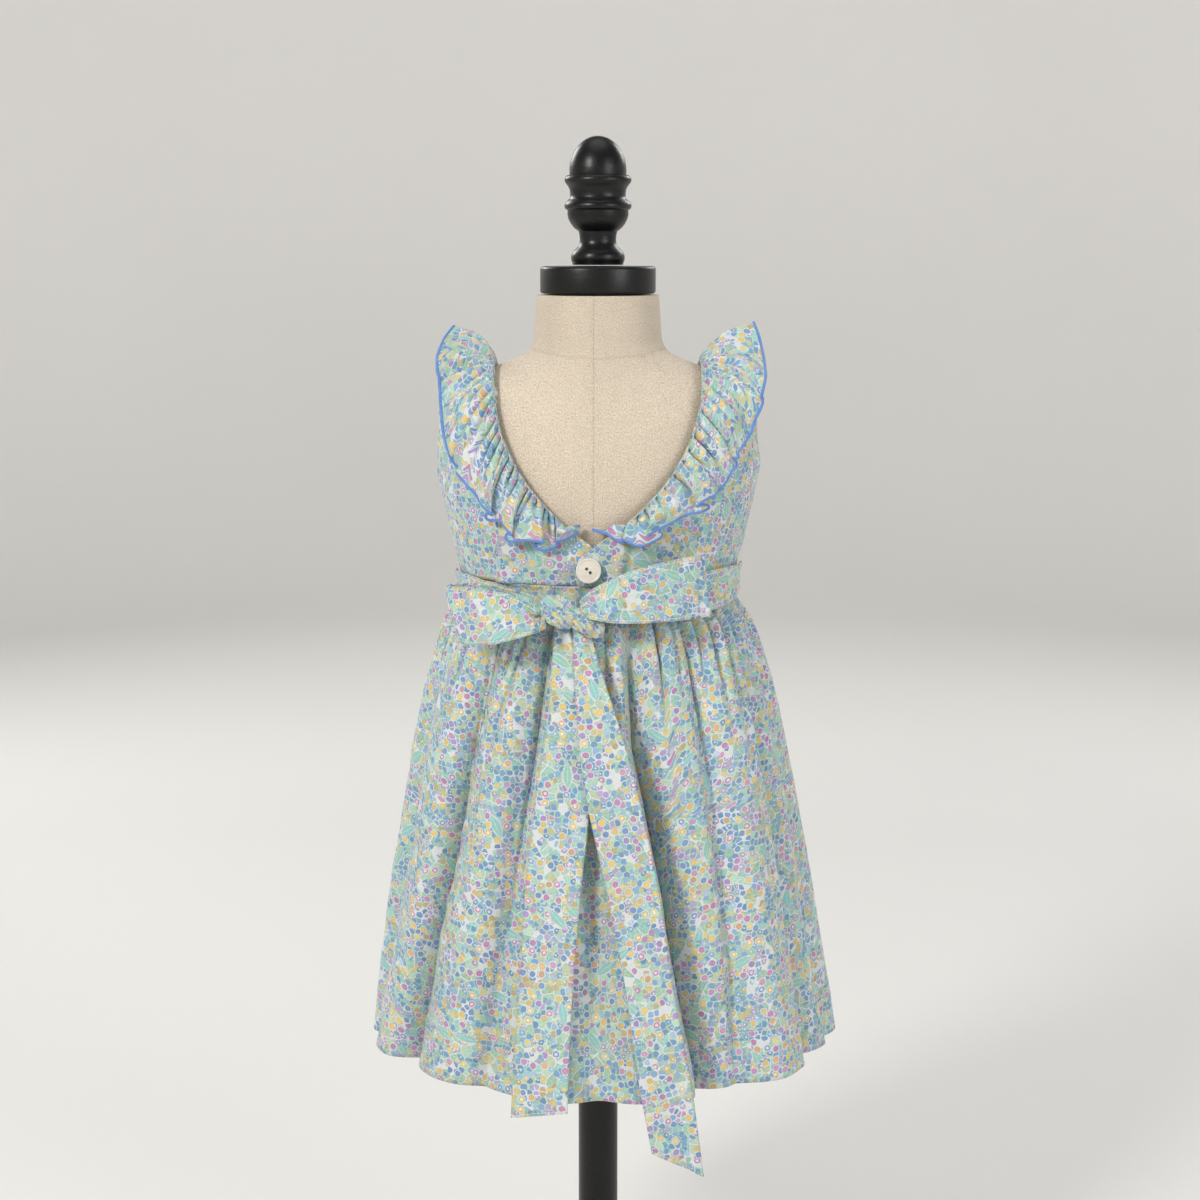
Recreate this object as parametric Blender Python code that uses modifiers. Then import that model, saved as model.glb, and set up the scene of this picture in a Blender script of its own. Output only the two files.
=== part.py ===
"""A child's ruffled sundress, back view towards -Y, on a limbless dress form.

The dress is cotton cloth: every piece is a thin wall on a shape worked out from the sizes below.
The form is a linen torso with a turned cap and finial on a pole and a round foot.
Metres, +Z up, the origin is the middle of the foot's underside.
"""

import math

import bmesh
import bpy
import numpy as np

# Heights above the floor.
FLOOR_FOOT = 0.020
FORM_BOTTOM = 0.460
HEM = 0.262
WAIST = 0.624
V_FOOT = 0.6525
UNDERARM = 0.700
SHOULDER_TIP = 0.764
SHOULDER_NECK = 0.7805
FRONT_NECK = 0.735
NECK_TOP = 0.8275

# Radii and lengths of the hard parts.
FOOT_RADIUS = 0.140
POLE_RADIUS = 0.015
CAP_RADIUS = 0.0428
CAP_HEIGHT = 0.021
BUTTON_RADIUS = 0.009
BUTTON_HEIGHT = 0.003
BUTTON_HOLE_RADIUS = 0.0011
BUTTON_HOLE_OFFSET = 0.0013
BUTTON_ROUNDING = 0.0007
FINIAL_HEIGHT = 0.092

# Cloth.
CLOTH = 0.0014
GAP = 0.0003
NECK_HALF_WIDTH = 0.0745
V_SHIFT = 0.004
OVERLAP = 0.010
SIDE_LIFT = 0.011
LEAN = 0.0035
SEAM_ANGLE = 0.003

# The ruffle grows from its root to its full width, waves on the flat back and stands up at the
# shoulder, where its tilt is measured from the cloth below it.
RUFFLE_WIDTH = 0.043
RUFFLE_ROOT = 0.004
RUFFLE_GROWTH = 0.022
RUFFLE_WAVE = 0.025
RUFFLE_WAVE_HEIGHT = 0.006
RUFFLE_TILT = math.radians(48)
RUFFLE_STANDS = 0.035

# The sash is narrow at its seam, open in the middle and bunched at the knot.
SASH_SEAM_HEIGHT = 0.020
SASH_OPENING = 0.008
SASH_BUNCHING = 0.010
SASH_SEAM_ANGLE = 88.5

# Sections as (height, half width, half depth), from the top down.
FORM = [
    (0.8275, 0.0445, 0.0445),
    (0.8060, 0.0460, 0.0455),
    (0.7960, 0.0468, 0.0460),
    (0.7890, 0.0495, 0.0465),
    (0.7840, 0.0555, 0.0470),
    (0.7790, 0.0675, 0.0480),
    (0.7740, 0.0800, 0.0500),
    (0.7670, 0.0965, 0.0535),
    (0.7600, 0.1055, 0.0575),
    (0.7400, 0.1105, 0.0660),
    (0.7000, 0.1080, 0.0725),
    (0.6550, 0.0985, 0.0715),
    (0.6240, 0.0945, 0.0690),
    (0.5700, 0.0990, 0.0740),
    (0.5000, 0.0980, 0.0740),
    (0.4700, 0.0920, 0.0690),
    (0.4600, 0.0840, 0.0620),
]
BODICE = [
    (0.7875, 0.0560, 0.0495),
    (0.7805, 0.0745, 0.0520),
    (0.7755, 0.0880, 0.0545),
    (0.7700, 0.1010, 0.0575),
    (0.7640, 0.1105, 0.0615),
    (0.7570, 0.1150, 0.0655),
    (0.7400, 0.1170, 0.0725),
    (0.7100, 0.1175, 0.0775),
    (0.6850, 0.1150, 0.0785),
    (0.6550, 0.1080, 0.0770),
    (0.6240, 0.1010, 0.0750),
]
SKIRT = [
    (0.6240, 0.1010, 0.0750),
    (0.6080, 0.1032, 0.0780),
    (0.5900, 0.1140, 0.0870),
    (0.5650, 0.1225, 0.0935),
    (0.5000, 0.1380, 0.1040),
    (0.4000, 0.1560, 0.1185),
    (0.3000, 0.1720, 0.1325),
    (0.2620, 0.1775, 0.1375),
]
WRAP = [
    (0.6600, 0.1130, 0.0830),
    (0.6400, 0.1085, 0.0815),
    (0.6240, 0.1045, 0.0800),
    (0.6060, 0.1068, 0.0825),
    (0.5950, 0.1150, 0.0890),
]

# Long skirt folds as (angle at the waist, angle at the hem, depth at the hem, angular width).
# Angles are in degrees from the middle of the back, to the right; a negative depth is a ridge.
FOLDS = [
    (-50, -72, 0.026, 9),
    (-14, -30, 0.018, 14),
    (11, 20, 0.015, 6),
    (50, 42, -0.008, 7),
    (58, 57, 0.019, 7),
    (108, 112, 0.013, 7),
    (132, 135, 0.016, 8),
    (156, 158, 0.014, 7),
    (181, 182, 0.018, 8),
    (206, 204, 0.014, 7),
    (230, 228, 0.016, 8),
    (252, 250, 0.012, 6),
]
GATHERS = 24
GATHER_DEPTH = 0.0030
GATHER_FADE = 0.060

# Loops as stations (x, y, bottom, top), out along the front layer and home along the back one.
LEFT_LOOP = [
    (-0.0425, -0.1040, 0.6010, 0.6165),
    (-0.0550, -0.1095, 0.5950, 0.6150),
    (-0.0720, -0.1080, 0.5880, 0.6160),
    (-0.0900, -0.1010, 0.5835, 0.6215),
    (-0.1030, -0.0920, 0.5830, 0.6255),
    (-0.1065, -0.0850, 0.5850, 0.6262),
    (-0.1020, -0.0800, 0.5880, 0.6265),
    (-0.0880, -0.0820, 0.5900, 0.6270),
    (-0.0700, -0.0870, 0.5930, 0.6265),
    (-0.0550, -0.0905, 0.5980, 0.6235),
    (-0.0425, -0.0930, 0.6030, 0.6190),
]
RIGHT_LOOP = [
    (-0.0045, -0.1050, 0.6060, 0.6200),
    (0.0100, -0.1085, 0.6060, 0.6295),
    (0.0290, -0.1060, 0.6040, 0.6370),
    (0.0560, -0.0960, 0.6025, 0.6420),
    (0.0750, -0.0845, 0.6030, 0.6465),
    (0.0795, -0.0790, 0.6045, 0.6470),
    (0.0745, -0.0765, 0.6050, 0.6465),
    (0.0560, -0.0840, 0.6050, 0.6400),
    (0.0290, -0.0915, 0.6060, 0.6350),
    (0.0100, -0.0935, 0.6080, 0.6280),
    (-0.0045, -0.0945, 0.6080, 0.6190),
]

# Tails as stations (height of the left edge, of the right edge, left edge x, right edge x).
LEFT_TAIL = [
    (0.5955, 0.5955, -0.0330, -0.0215),
    (0.5700, 0.5700, -0.0320, -0.0130),
    (0.5335, 0.5335, -0.0345, -0.0040),
    (0.4915, 0.4915, -0.0415, -0.0040),
    (0.4150, 0.4150, -0.0507, -0.0120),
    (0.3450, 0.3450, -0.0552, -0.0178),
    (0.2900, 0.2920, -0.0595, -0.0205),
    (0.2515, 0.2580, -0.0615, -0.0215),
]
RIGHT_TAIL = [
    (0.5955, 0.5955, -0.0190, -0.0060),
    (0.5700, 0.5700, -0.0190, 0.0015),
    (0.5160, 0.5160, -0.0160, 0.0190),
    (0.4720, 0.4720, -0.0065, 0.0305),
    (0.4080, 0.4080, 0.0080, 0.0437),
    (0.3500, 0.3500, 0.0190, 0.0520),
    (0.2740, 0.2740, 0.0300, 0.0663),
    (0.2290, 0.2080, 0.0382, 0.0751),
]
TAIL_CLEARANCE = 0.004

KNOT_CENTRE = (-0.0235, -0.1000, 0.6100)
KNOT_HALF = (0.0180, 0.0150, 0.0128)
BUTTON_PLACE = (-0.0066, -0.0795, 0.6361)

PRINT = (0.62, 0.72, 0.70)
LINEN = (0.80, 0.74, 0.65)
OFF_WHITE = (0.86, 0.84, 0.78)
BLACK = (0.02, 0.02, 0.02)


def curve_through(places, values, place):
    """A smooth curve that never overshoots the values given at rising places."""
    step = np.diff(places)
    slope = np.diff(values) / step
    tangent = np.concatenate(([slope[0]], np.zeros(len(slope) - 1), [slope[-1]]))
    for i in range(1, len(slope)):
        if slope[i - 1] * slope[i] > 0:
            tangent[i] = 2 * slope[i - 1] * slope[i] / (slope[i - 1] + slope[i])
    i = int(np.clip(np.searchsorted(places, place) - 1, 0, len(step) - 1))
    t = (place - places[i]) / step[i]
    start = values[i] * (1 + 2 * t) + tangent[i] * step[i] * t
    end = values[i + 1] * (3 - 2 * t) - tangent[i + 1] * step[i] * (1 - t)
    return start * (1 - t) ** 2 + end * t**2


def section(levels, z):
    """Half width and half depth of a list of sections at one height."""
    rising = np.array(levels[::-1])
    return [curve_through(rising[:, 0], rising[:, k], z) for k in (1, 2)]


def ease(t):
    """0 to 1 with a soft start and end."""
    t = min(max(t, 0.0), 1.0)
    return t * t * (3 - 2 * t)


def on_section(levels, phi, z, out=0.0):
    """A point on the sections, out is measured along the surface's normal."""

    def place(phi, z):
        a, b = section(levels, z)
        return np.array([a * math.sin(phi), -b * math.cos(phi), z])

    here = place(phi, z)
    if not out:
        return here
    across = place(phi + 0.001, z) - place(phi - 0.001, z)
    up = place(phi, z + 0.0005) - place(phi, z - 0.0005)
    normal = np.cross(across, up)
    return here + out * normal / np.linalg.norm(normal)


def part_material(name, colour, roughness):
    material = bpy.data.materials.new(name)
    material.use_nodes = True
    shader = material.node_tree.nodes["Principled BSDF"]
    shader.inputs["Base Color"].default_value = (*colour, 1.0)
    shader.inputs["Roughness"].default_value = roughness
    material.diffuse_color = (*colour, 1.0)
    return material


def add_part(name, mesh, colour, roughness):
    """One named sub-part, in the collection of the finished object."""
    part = bpy.data.objects.new(name, mesh)
    part.data.materials.append(part_material(name, colour, roughness))
    bpy.data.collections["ruffled_sundress"].objects.link(part)
    return part


def grid_mesh(name, rows, closed=False):
    """Quads through rows of points. A closed grid also joins each row's end to its start."""
    bm = bmesh.new()
    verts = [[bm.verts.new(point) for point in row] for row in rows]
    count = len(rows[0])
    for low, high in zip(verts, verts[1:]):
        for i in range(count if closed else count - 1):
            j = (i + 1) % count
            bm.faces.new((low[i], low[j], high[j], high[i]))
    if closed:
        bm.faces.new(verts[0][::-1])
        bm.faces.new(verts[-1])
    mesh = bpy.data.meshes.new(name)
    bm.to_mesh(mesh)
    bm.free()
    mesh.shade_smooth()
    return mesh


def cloth_part(name, rows, mirrored=False):
    """A sheet through rows of points, with the wall of the cloth."""
    part = add_part(name, grid_mesh(name, rows), PRINT, 0.85)
    if mirrored:
        mirror = part.modifiers.new("other_half", "MIRROR")
        mirror.merge_threshold = 0.0001
    wall = part.modifiers.new("cloth", "SOLIDIFY")
    wall.thickness = CLOTH
    wall.offset = 0.0
    return part


def back_edge(side, z):
    """How far a back panel's inner edge is from the middle, towards its own side."""
    foot = -side * V_SHIFT
    if z <= V_FOOT:
        return foot - OVERLAP * ease((V_FOOT - z) / OVERLAP)
    down = (SHOULDER_NECK - z) / (SHOULDER_NECK - V_FOOT)
    return foot + (NECK_HALF_WIDTH - foot) * (1 - down**2.5)


def front_edge(z):
    """Half width of the scooped front neckline."""
    down = min((SHOULDER_NECK - z) / (SHOULDER_NECK - FRONT_NECK), 1.0)
    return NECK_HALF_WIDTH * (1 - down**2.2) ** (1 / 2.2)


def edge_angle(x, z):
    """The angle round the bodice at which it is x wide."""
    half_width = section(BODICE, z)[0]
    return math.asin(min(x / half_width, 1.0))


def placket_lift(x):
    """The right back panel passes over the left one near the middle."""
    return (CLOTH + 3 * GAP) * (1 - ease((x - 0.028) / 0.030))


def bodice_rows(inner_edge, armhole_depth, rows=13, columns=10):
    """Rows as (angle, height) from the inner edge to the side seam and armhole."""
    grid = []
    for i in range(rows):
        v = 1 - (1 - i / (rows - 1)) ** 1.5
        z_in = WAIST + GAP + v * (SHOULDER_NECK - WAIST - GAP)
        z_out = WAIST + GAP + v * (SHOULDER_TIP - WAIST - GAP)
        high = min(max((z_out - UNDERARM) / (SHOULDER_TIP - UNDERARM), 0.0), 1.0)
        phi_out = math.pi / 2 - SEAM_ANGLE - armhole_depth * math.sin(math.pi * high)
        phi_in = min(edge_angle(inner_edge(z_in), z_in), math.pi / 2 - SEAM_ANGLE)
        line = [j / (columns - 1) for j in range(columns)]
        grid.append([(phi_in + u * (phi_out - phi_in), z_in + u * (z_out - z_in)) for u in line])
    return grid


def back_panel(name, side):
    rows = []
    for line in bodice_rows(lambda z: back_edge(side, z), math.radians(9)):
        row = []
        for phi, z in line:
            x = section(BODICE, z)[0] * math.sin(phi)
            out = placket_lift(x) if side > 0 else 0.0
            point = on_section(BODICE, phi, z, out)
            row.append((side * point[0], point[1], point[2]))
        rows.append(row)
    cloth_part(name, rows)


def front_panel(name):
    rows = []
    for line in bodice_rows(front_edge, math.radians(20)):
        points = [on_section(BODICE, phi, z) for phi, z in line]
        rows.append([(p[0], -p[1], p[2]) for p in points])
    cloth_part(name, rows, mirrored=True)


def neckline(side):
    """Angles and heights along a half neckline, from the foot of the V to the middle front."""
    path = []
    start = V_FOOT + 0.010
    for i in range(121):
        z = SHOULDER_NECK - (SHOULDER_NECK - start) * (1 - i / 120) ** 2
        path.append((edge_angle(back_edge(side, z), z), z))
    for i in range(1, 121):
        z = SHOULDER_NECK - (SHOULDER_NECK - FRONT_NECK) * (1 - (1 - i / 120) ** 2) ** 1.6
        path.append((math.pi - edge_angle(front_edge(z), z), z))
    return np.array(path)


def ruffle_width(s):
    return RUFFLE_ROOT + (RUFFLE_WIDTH - RUFFLE_ROOT) * (1 - math.exp(-s / RUFFLE_GROWTH))


def ruffle(name, side, columns=48, strips=3):
    """A gathered strip sewn along the neckline, flat on the back and standing at the shoulder."""
    path = neckline(side)
    spots = np.array([on_section(BODICE, phi, z) for phi, z in path])
    run = np.concatenate(([0.0], np.cumsum(np.linalg.norm(np.diff(spots, axis=0), axis=1))))
    shoulder = run[120]
    rows = [[] for _ in range(strips + 1)]
    for i in range(columns + 1):
        s = run[-1] * i / columns
        phi, z = (np.interp(s, run, path[:, k]) for k in (0, 1))
        near = [
            np.array([np.interp(s + d, run, spots[:, k]) for k in range(3)])
            for d in (-0.006, 0.006)
        ]
        tangent = (near[1] - near[0]) / np.linalg.norm(near[1] - near[0])
        here = on_section(BODICE, phi, z)
        normal = on_section(BODICE, phi, z, 1.0) - here
        away = np.cross(tangent, normal)
        away /= np.linalg.norm(away)
        basis = np.array([
            (on_section(BODICE, phi + 0.001, z) - on_section(BODICE, phi - 0.001, z)) / 0.002,
            (on_section(BODICE, phi, z + 0.0005) - on_section(BODICE, phi, z - 0.0005)) / 0.001,
        ]).T
        turn, drop = np.linalg.lstsq(basis, away, rcond=None)[0]
        standing = math.exp(-(((s - shoulder) / RUFFLE_STANDS) ** 2))
        straight = away * math.cos(RUFFLE_TILT) + normal * math.sin(RUFFLE_TILT)
        wave = RUFFLE_WAVE_HEIGHT * (0.5 - 0.5 * math.cos(2 * math.pi * s / RUFFLE_WAVE))
        seat = CLOTH + 2 * GAP + (placket_lift(here[0]) if side > 0 else 0.0)
        for j in range(strips + 1):
            w = ruffle_width(s) * j / strips
            lift = seat + wave * j / strips
            flat = on_section(BODICE, phi + turn * w, z + drop * w, lift)
            upright = here + straight * w + normal * (0.7 * seat + 0.3 * lift)
            point = flat * (1 - standing) + upright * standing
            if i == columns:
                point[0] = GAP
            rows[j].append((side * point[0], point[1], point[2]))
    cloth_part(name, rows)


def skirt_point(phi, z):
    """A point of the gathered skirt: its section less its long folds and waist gathers."""
    down = max(WAIST - z, 0.0)
    grown = (down / (WAIST - HEM)) ** 0.85
    degrees = math.degrees(phi)
    inset = 0.0
    for top, hem, depth, width in FOLDS:
        middle = top + (hem - top) * grown
        apart = (degrees - middle + 180) % 360 - 180
        inset += depth * grown * math.exp(-((apart / width) ** 2))
    gather = 0.5 - 0.5 * math.cos(GATHERS * phi)
    inset += GATHER_DEPTH * gather * math.exp(-down / GATHER_FADE) * ease(down / 0.02)
    point = on_section(SKIRT, phi, z, -inset)
    return point + np.array([LEAN * grown, 0.0, SIDE_LIFT * grown * math.sin(phi) ** 2])


def skirt_panel(name, start, end, columns=48):
    first, last = math.radians(start) + SEAM_ANGLE, math.radians(end) - SEAM_ANGLE
    heights = [0.6237, 0.6150, 0.6060, 0.5900, 0.5680, 0.5300, 0.4700, 0.3750, HEM]
    rows = []
    for z in heights:
        angles = np.linspace(first, last, columns + 1)
        rows.append([skirt_point(phi, z) for phi in angles])
    cloth_part(name, rows)


def sash_band(name, side, end_angle, seam_middle, knot_middle, columns=12, strips=3):
    """A tie sewn into the side seam, running round the waist to the knot."""
    rows = [[] for _ in range(strips + 1)]
    for i in range(columns + 1):
        t = i / columns
        phi = math.radians(SASH_SEAM_ANGLE + (end_angle - SASH_SEAM_ANGLE) * t)
        middle = seam_middle + (knot_middle - seam_middle) * t
        height = SASH_SEAM_HEIGHT + SASH_OPENING * ease(t / 0.4)
        height -= SASH_BUNCHING * ease((t - 0.6) / 0.4)
        for j in range(strips + 1):
            point = on_section(WRAP, phi, middle + height * (j / strips - 0.5))
            rows[j].append((side * point[0], point[1], point[2]))
    cloth_part(name, rows)


def through_stations(stations, t):
    """Values at a share t of the way along a list of stations."""
    table = np.array(stations)
    places = np.linspace(0, 1, len(table))
    return [curve_through(places, table[:, k], t) for k in range(table.shape[1])]


def bow_loop(name, stations, columns=22, strips=3):
    """One loop of the bow: a band that leaves the knot, turns at its tip and comes back."""
    rows = [[] for _ in range(strips + 1)]
    for i in range(columns + 1):
        x, y, bottom, top = through_stations(stations, i / columns)
        for j in range(strips + 1):
            rows[j].append((x, y, bottom + (top - bottom) * j / strips))
    cloth_part(name, rows)


def tail(name, stations, clearance, rows_down=13, strips=3):
    """A free end of the sash that hangs from the knot over the skirt, past its hem."""
    rows = []
    for i in range(rows_down + 1):
        left_z, right_z, left_x, right_x = through_stations(stations, i / rows_down)
        row = []
        for j in range(strips + 1):
            u = j / strips
            x, z = left_x + u * (right_x - left_x), left_z + u * (right_z - left_z)
            half_width, half_depth = section(SKIRT, max(z, HEM))
            depth = half_depth * math.sqrt(1 - (x / half_width) ** 2)
            row.append((x, -depth - clearance, z))
        rows.append(row)
    cloth_part(name, rows)


def knot(name):
    """The wrapped knot of the bow, as one rounded lump."""
    bm = bmesh.new()
    bmesh.ops.create_uvsphere(bm, u_segments=20, v_segments=12, radius=1.0)
    for vert in bm.verts:
        vert.co = [c + h * v for c, h, v in zip(KNOT_CENTRE, KNOT_HALF, vert.co)]
    mesh = bpy.data.meshes.new(name)
    bm.to_mesh(mesh)
    bm.free()
    mesh.shade_smooth()
    add_part(name, mesh, PRINT, 0.85)


def disc_mesh(name, radius, height, segments=32):
    bm = bmesh.new()
    bmesh.ops.create_cone(
        bm, cap_ends=True, segments=segments, radius1=radius, radius2=radius, depth=height
    )
    mesh = bpy.data.meshes.new(name)
    bm.to_mesh(mesh)
    bm.free()
    return mesh


def disc_part(name, radius, bottom, height, rounding, colour, segments=40):
    part = add_part(name, disc_mesh(name, radius, height, segments), colour, 0.35)
    part.location.z = bottom + height / 2
    if rounding:
        bevel = part.modifiers.new("rounded_edge", "BEVEL")
        bevel.width = rounding
        bevel.segments = 2
        bevel.limit_method = "ANGLE"
    return part


def button(name):
    """A flat two-hole button that faces -Y."""
    part = add_part(
        name, disc_mesh(name, BUTTON_RADIUS, BUTTON_HEIGHT), OFF_WHITE, 0.35
    )
    part.location = BUTTON_PLACE
    part.location.y -= BUTTON_HEIGHT / 2
    part.rotation_euler.x = math.pi / 2
    bevel = part.modifiers.new("rounded_edge", "BEVEL")
    bevel.width = BUTTON_ROUNDING
    bevel.segments = 2
    bevel.limit_method = "ANGLE"
    for index, sign in enumerate((-1, 1)):
        cutter = bpy.data.objects.new(
            f"button_hole_{index}", disc_mesh("hole", BUTTON_HOLE_RADIUS, 0.02, 12)
        )
        bpy.data.collections["cutters"].objects.link(cutter)
        cutter.location = part.location
        cutter.location.x -= sign * BUTTON_HOLE_OFFSET
        cutter.location.z += sign * BUTTON_HOLE_OFFSET
        cutter.rotation_euler.x = math.pi / 2
        cutter.hide_render = True
        cutter.display_type = "WIRE"
        hole = part.modifiers.new(f"hole_{index}", "BOOLEAN")
        hole.object = cutter
        hole.operation = "DIFFERENCE"
        hole.solver = "EXACT"


def form_torso(name, segments=36):
    """The limbless linen torso and neck, closed at the bottom."""
    heights = [level[0] for level in FORM]
    middles = [(a + b) / 2 for a, b in zip(heights[2:9], heights[3:10])]
    rows = []
    for z in sorted(heights + middles):
        half_width, half_depth = section(FORM, z)
        angles = [2 * math.pi * i / segments for i in range(segments)]
        rows.append([(half_width * math.sin(a), -half_depth * math.cos(a), z) for a in angles])
    add_part(name, grid_mesh(name, rows, closed=True), LINEN, 0.9)


def finial(name):
    """The turned knob, as a profile from its tip down: an egg, two rings, a bowl and a foot."""
    top = NECK_TOP + CAP_HEIGHT + 2 * GAP + FINIAL_HEIGHT
    egg = [(0.0207 * math.sin(a), 0.025 * (1 - math.cos(a))) for a in np.radians(range(0, 105, 13))]
    rest = [
        (0.0195, 0.0275),
        (0.0230, 0.0285),
        (0.0243, 0.0310),
        (0.0228, 0.0340),
        (0.0203, 0.0380),
        (0.0201, 0.0435),
        (0.0232, 0.0470),
        (0.0244, 0.0500),
        (0.0228, 0.0530),
        (0.0222, 0.0570),
        (0.0190, 0.0625),
        (0.0137, 0.0680),
        (0.0131, 0.0740),
        (0.0150, 0.0790),
        (0.0190, 0.0830),
        (0.0196, 0.0865),
        (0.0186, FINIAL_HEIGHT),
    ]
    outline = egg + rest + [(0.0, FINIAL_HEIGHT)]
    bm = bmesh.new()
    verts = [bm.verts.new((radius, 0.0, top - down)) for radius, down in outline]
    for first, second in zip(verts, verts[1:]):
        bm.edges.new((first, second))
    mesh = bpy.data.meshes.new(name)
    bm.to_mesh(mesh)
    bm.free()
    part = add_part(name, mesh, BLACK, 0.35)
    turn = part.modifiers.new("turned", "SCREW")
    turn.steps = 24
    turn.render_steps = 24
    turn.use_merge_vertices = True
    turn.merge_threshold = 0.00001
    return part


def main():
    for old in list(bpy.data.objects):
        bpy.data.objects.remove(old)
    for name in ("ruffled_sundress", "cutters"):
        bpy.context.scene.collection.children.link(bpy.data.collections.new(name))
    disc_part("base", FOOT_RADIUS, 0.0, FLOOR_FOOT, 0.004, BLACK, 48)
    pole_height = FORM_BOTTOM - FLOOR_FOOT - 2 * GAP
    disc_part("pole", POLE_RADIUS, FLOOR_FOOT + GAP, pole_height, 0.0, BLACK, 32)
    form_torso("form_torso")
    disc_part("neck_cap", CAP_RADIUS, NECK_TOP + GAP, CAP_HEIGHT, 0.003, BLACK)
    finial("finial")
    front_panel("bodice_front")
    back_panel("bodice_back_left", -1)
    back_panel("bodice_back_right", 1)
    ruffle("ruffle_left", -1)
    ruffle("ruffle_right", 1)
    skirt_panel("skirt_back", -90, 90)
    skirt_panel("skirt_front", 90, 270)
    sash_band("sash_left", -1, 26, 0.6165, 0.6060)
    sash_band("sash_right", 1, -4, 0.6222, 0.6120)
    bow_loop("bow_loop_left", LEFT_LOOP)
    bow_loop("bow_loop_right", RIGHT_LOOP)
    tail("tail_left", LEFT_TAIL, TAIL_CLEARANCE)
    tail("tail_right", RIGHT_TAIL, TAIL_CLEARANCE + 2 * CLOTH)
    knot("bow_knot")
    button("button")


main()
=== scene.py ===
# %% [markdown]
# # A child's ruffled cotton sundress on a dress form
# The dress is thin printed cotton: a fitted bodice with a deep V at the back, a gathered
# ruffle round the neckline, a gathered skirt and a sash tied in a bow. It stands on a
# limbless linen form with a black turned knob, a pole and a round foot. The frame holds the
# plain model of all of it, and every new piece here takes its place from that frame.
# Metres, z up, the back of the dress looks towards -y.

import math

import bpy
import numpy as np
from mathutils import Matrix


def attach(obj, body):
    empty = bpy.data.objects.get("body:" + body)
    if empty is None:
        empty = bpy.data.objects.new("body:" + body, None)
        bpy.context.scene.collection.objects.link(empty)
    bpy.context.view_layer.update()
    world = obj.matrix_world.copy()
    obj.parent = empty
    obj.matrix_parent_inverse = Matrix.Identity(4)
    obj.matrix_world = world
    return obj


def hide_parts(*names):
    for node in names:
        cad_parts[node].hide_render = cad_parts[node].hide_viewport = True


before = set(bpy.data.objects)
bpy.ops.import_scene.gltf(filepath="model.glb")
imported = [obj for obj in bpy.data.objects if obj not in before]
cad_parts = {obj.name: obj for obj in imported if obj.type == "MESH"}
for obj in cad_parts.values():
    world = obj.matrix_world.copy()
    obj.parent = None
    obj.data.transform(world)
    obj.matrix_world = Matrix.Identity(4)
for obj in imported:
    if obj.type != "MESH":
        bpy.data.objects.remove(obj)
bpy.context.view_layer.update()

# %% [markdown]
# ## Camera
# A short telephoto lens looks slightly down at the waist from a metre and a half behind,
# which keeps the width of the skirt true against the shoulders.

# %% Camera
FOCAL_LENGTH = 68.6
CAMERA_PLACE = (0.0015, -1.68, 0.867)
CAMERA_DIP = 8.95
lens = bpy.data.cameras.new("studio_camera")
lens.lens = FOCAL_LENGTH
lens.sensor_width = 36.0
camera = bpy.data.objects.new("studio_camera", lens)
camera.location = CAMERA_PLACE
camera.rotation_euler = (math.radians(90 - CAMERA_DIP), 0.0, 0.0)
bpy.context.scene.collection.objects.link(camera)
bpy.context.scene.camera = camera
print("camera:", tuple(camera.location), "lens", lens.lens)

# %% [markdown]
# ## Body sections
# A dress form is an oval that changes from height to height, so its shape is a list of
# ovals: height, half width, half depth. A curve that never overshoots joins them. The same
# idea gives the bodice, the skirt and the sash, each a little outside the one below.

# %% Sections
FORM = [
    (0.8275, 0.0445, 0.0445), (0.8060, 0.0460, 0.0455), (0.7960, 0.0468, 0.0460),
    (0.7890, 0.0495, 0.0465), (0.7840, 0.0555, 0.0470), (0.7790, 0.0675, 0.0480),
    (0.7740, 0.0800, 0.0500), (0.7670, 0.0965, 0.0535), (0.7600, 0.1055, 0.0575),
    (0.7400, 0.1105, 0.0660), (0.7000, 0.1080, 0.0725), (0.6550, 0.0985, 0.0715),
    (0.6240, 0.0945, 0.0690), (0.5700, 0.0990, 0.0740), (0.5000, 0.0980, 0.0740),
    (0.4700, 0.0920, 0.0690), (0.4600, 0.0840, 0.0620),
]
BODICE = [
    (0.7875, 0.0560, 0.0495), (0.7805, 0.0745, 0.0520), (0.7755, 0.0880, 0.0545),
    (0.7700, 0.1010, 0.0575), (0.7640, 0.1105, 0.0615), (0.7570, 0.1150, 0.0655),
    (0.7400, 0.1170, 0.0725), (0.7100, 0.1175, 0.0775), (0.6850, 0.1150, 0.0785),
    (0.6550, 0.1080, 0.0770), (0.6240, 0.1010, 0.0750),
]
SKIRT = [
    (0.6240, 0.1010, 0.0750), (0.6080, 0.1032, 0.0780), (0.5900, 0.1140, 0.0870),
    (0.5650, 0.1225, 0.0935), (0.5000, 0.1380, 0.1040), (0.4000, 0.1560, 0.1185),
    (0.3000, 0.1720, 0.1325), (0.2620, 0.1775, 0.1375),
]
WRAP = [
    (0.6600, 0.1130, 0.0830), (0.6400, 0.1085, 0.0815), (0.6240, 0.1045, 0.0800),
    (0.6060, 0.1068, 0.0825), (0.5950, 0.1150, 0.0890),
]


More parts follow.
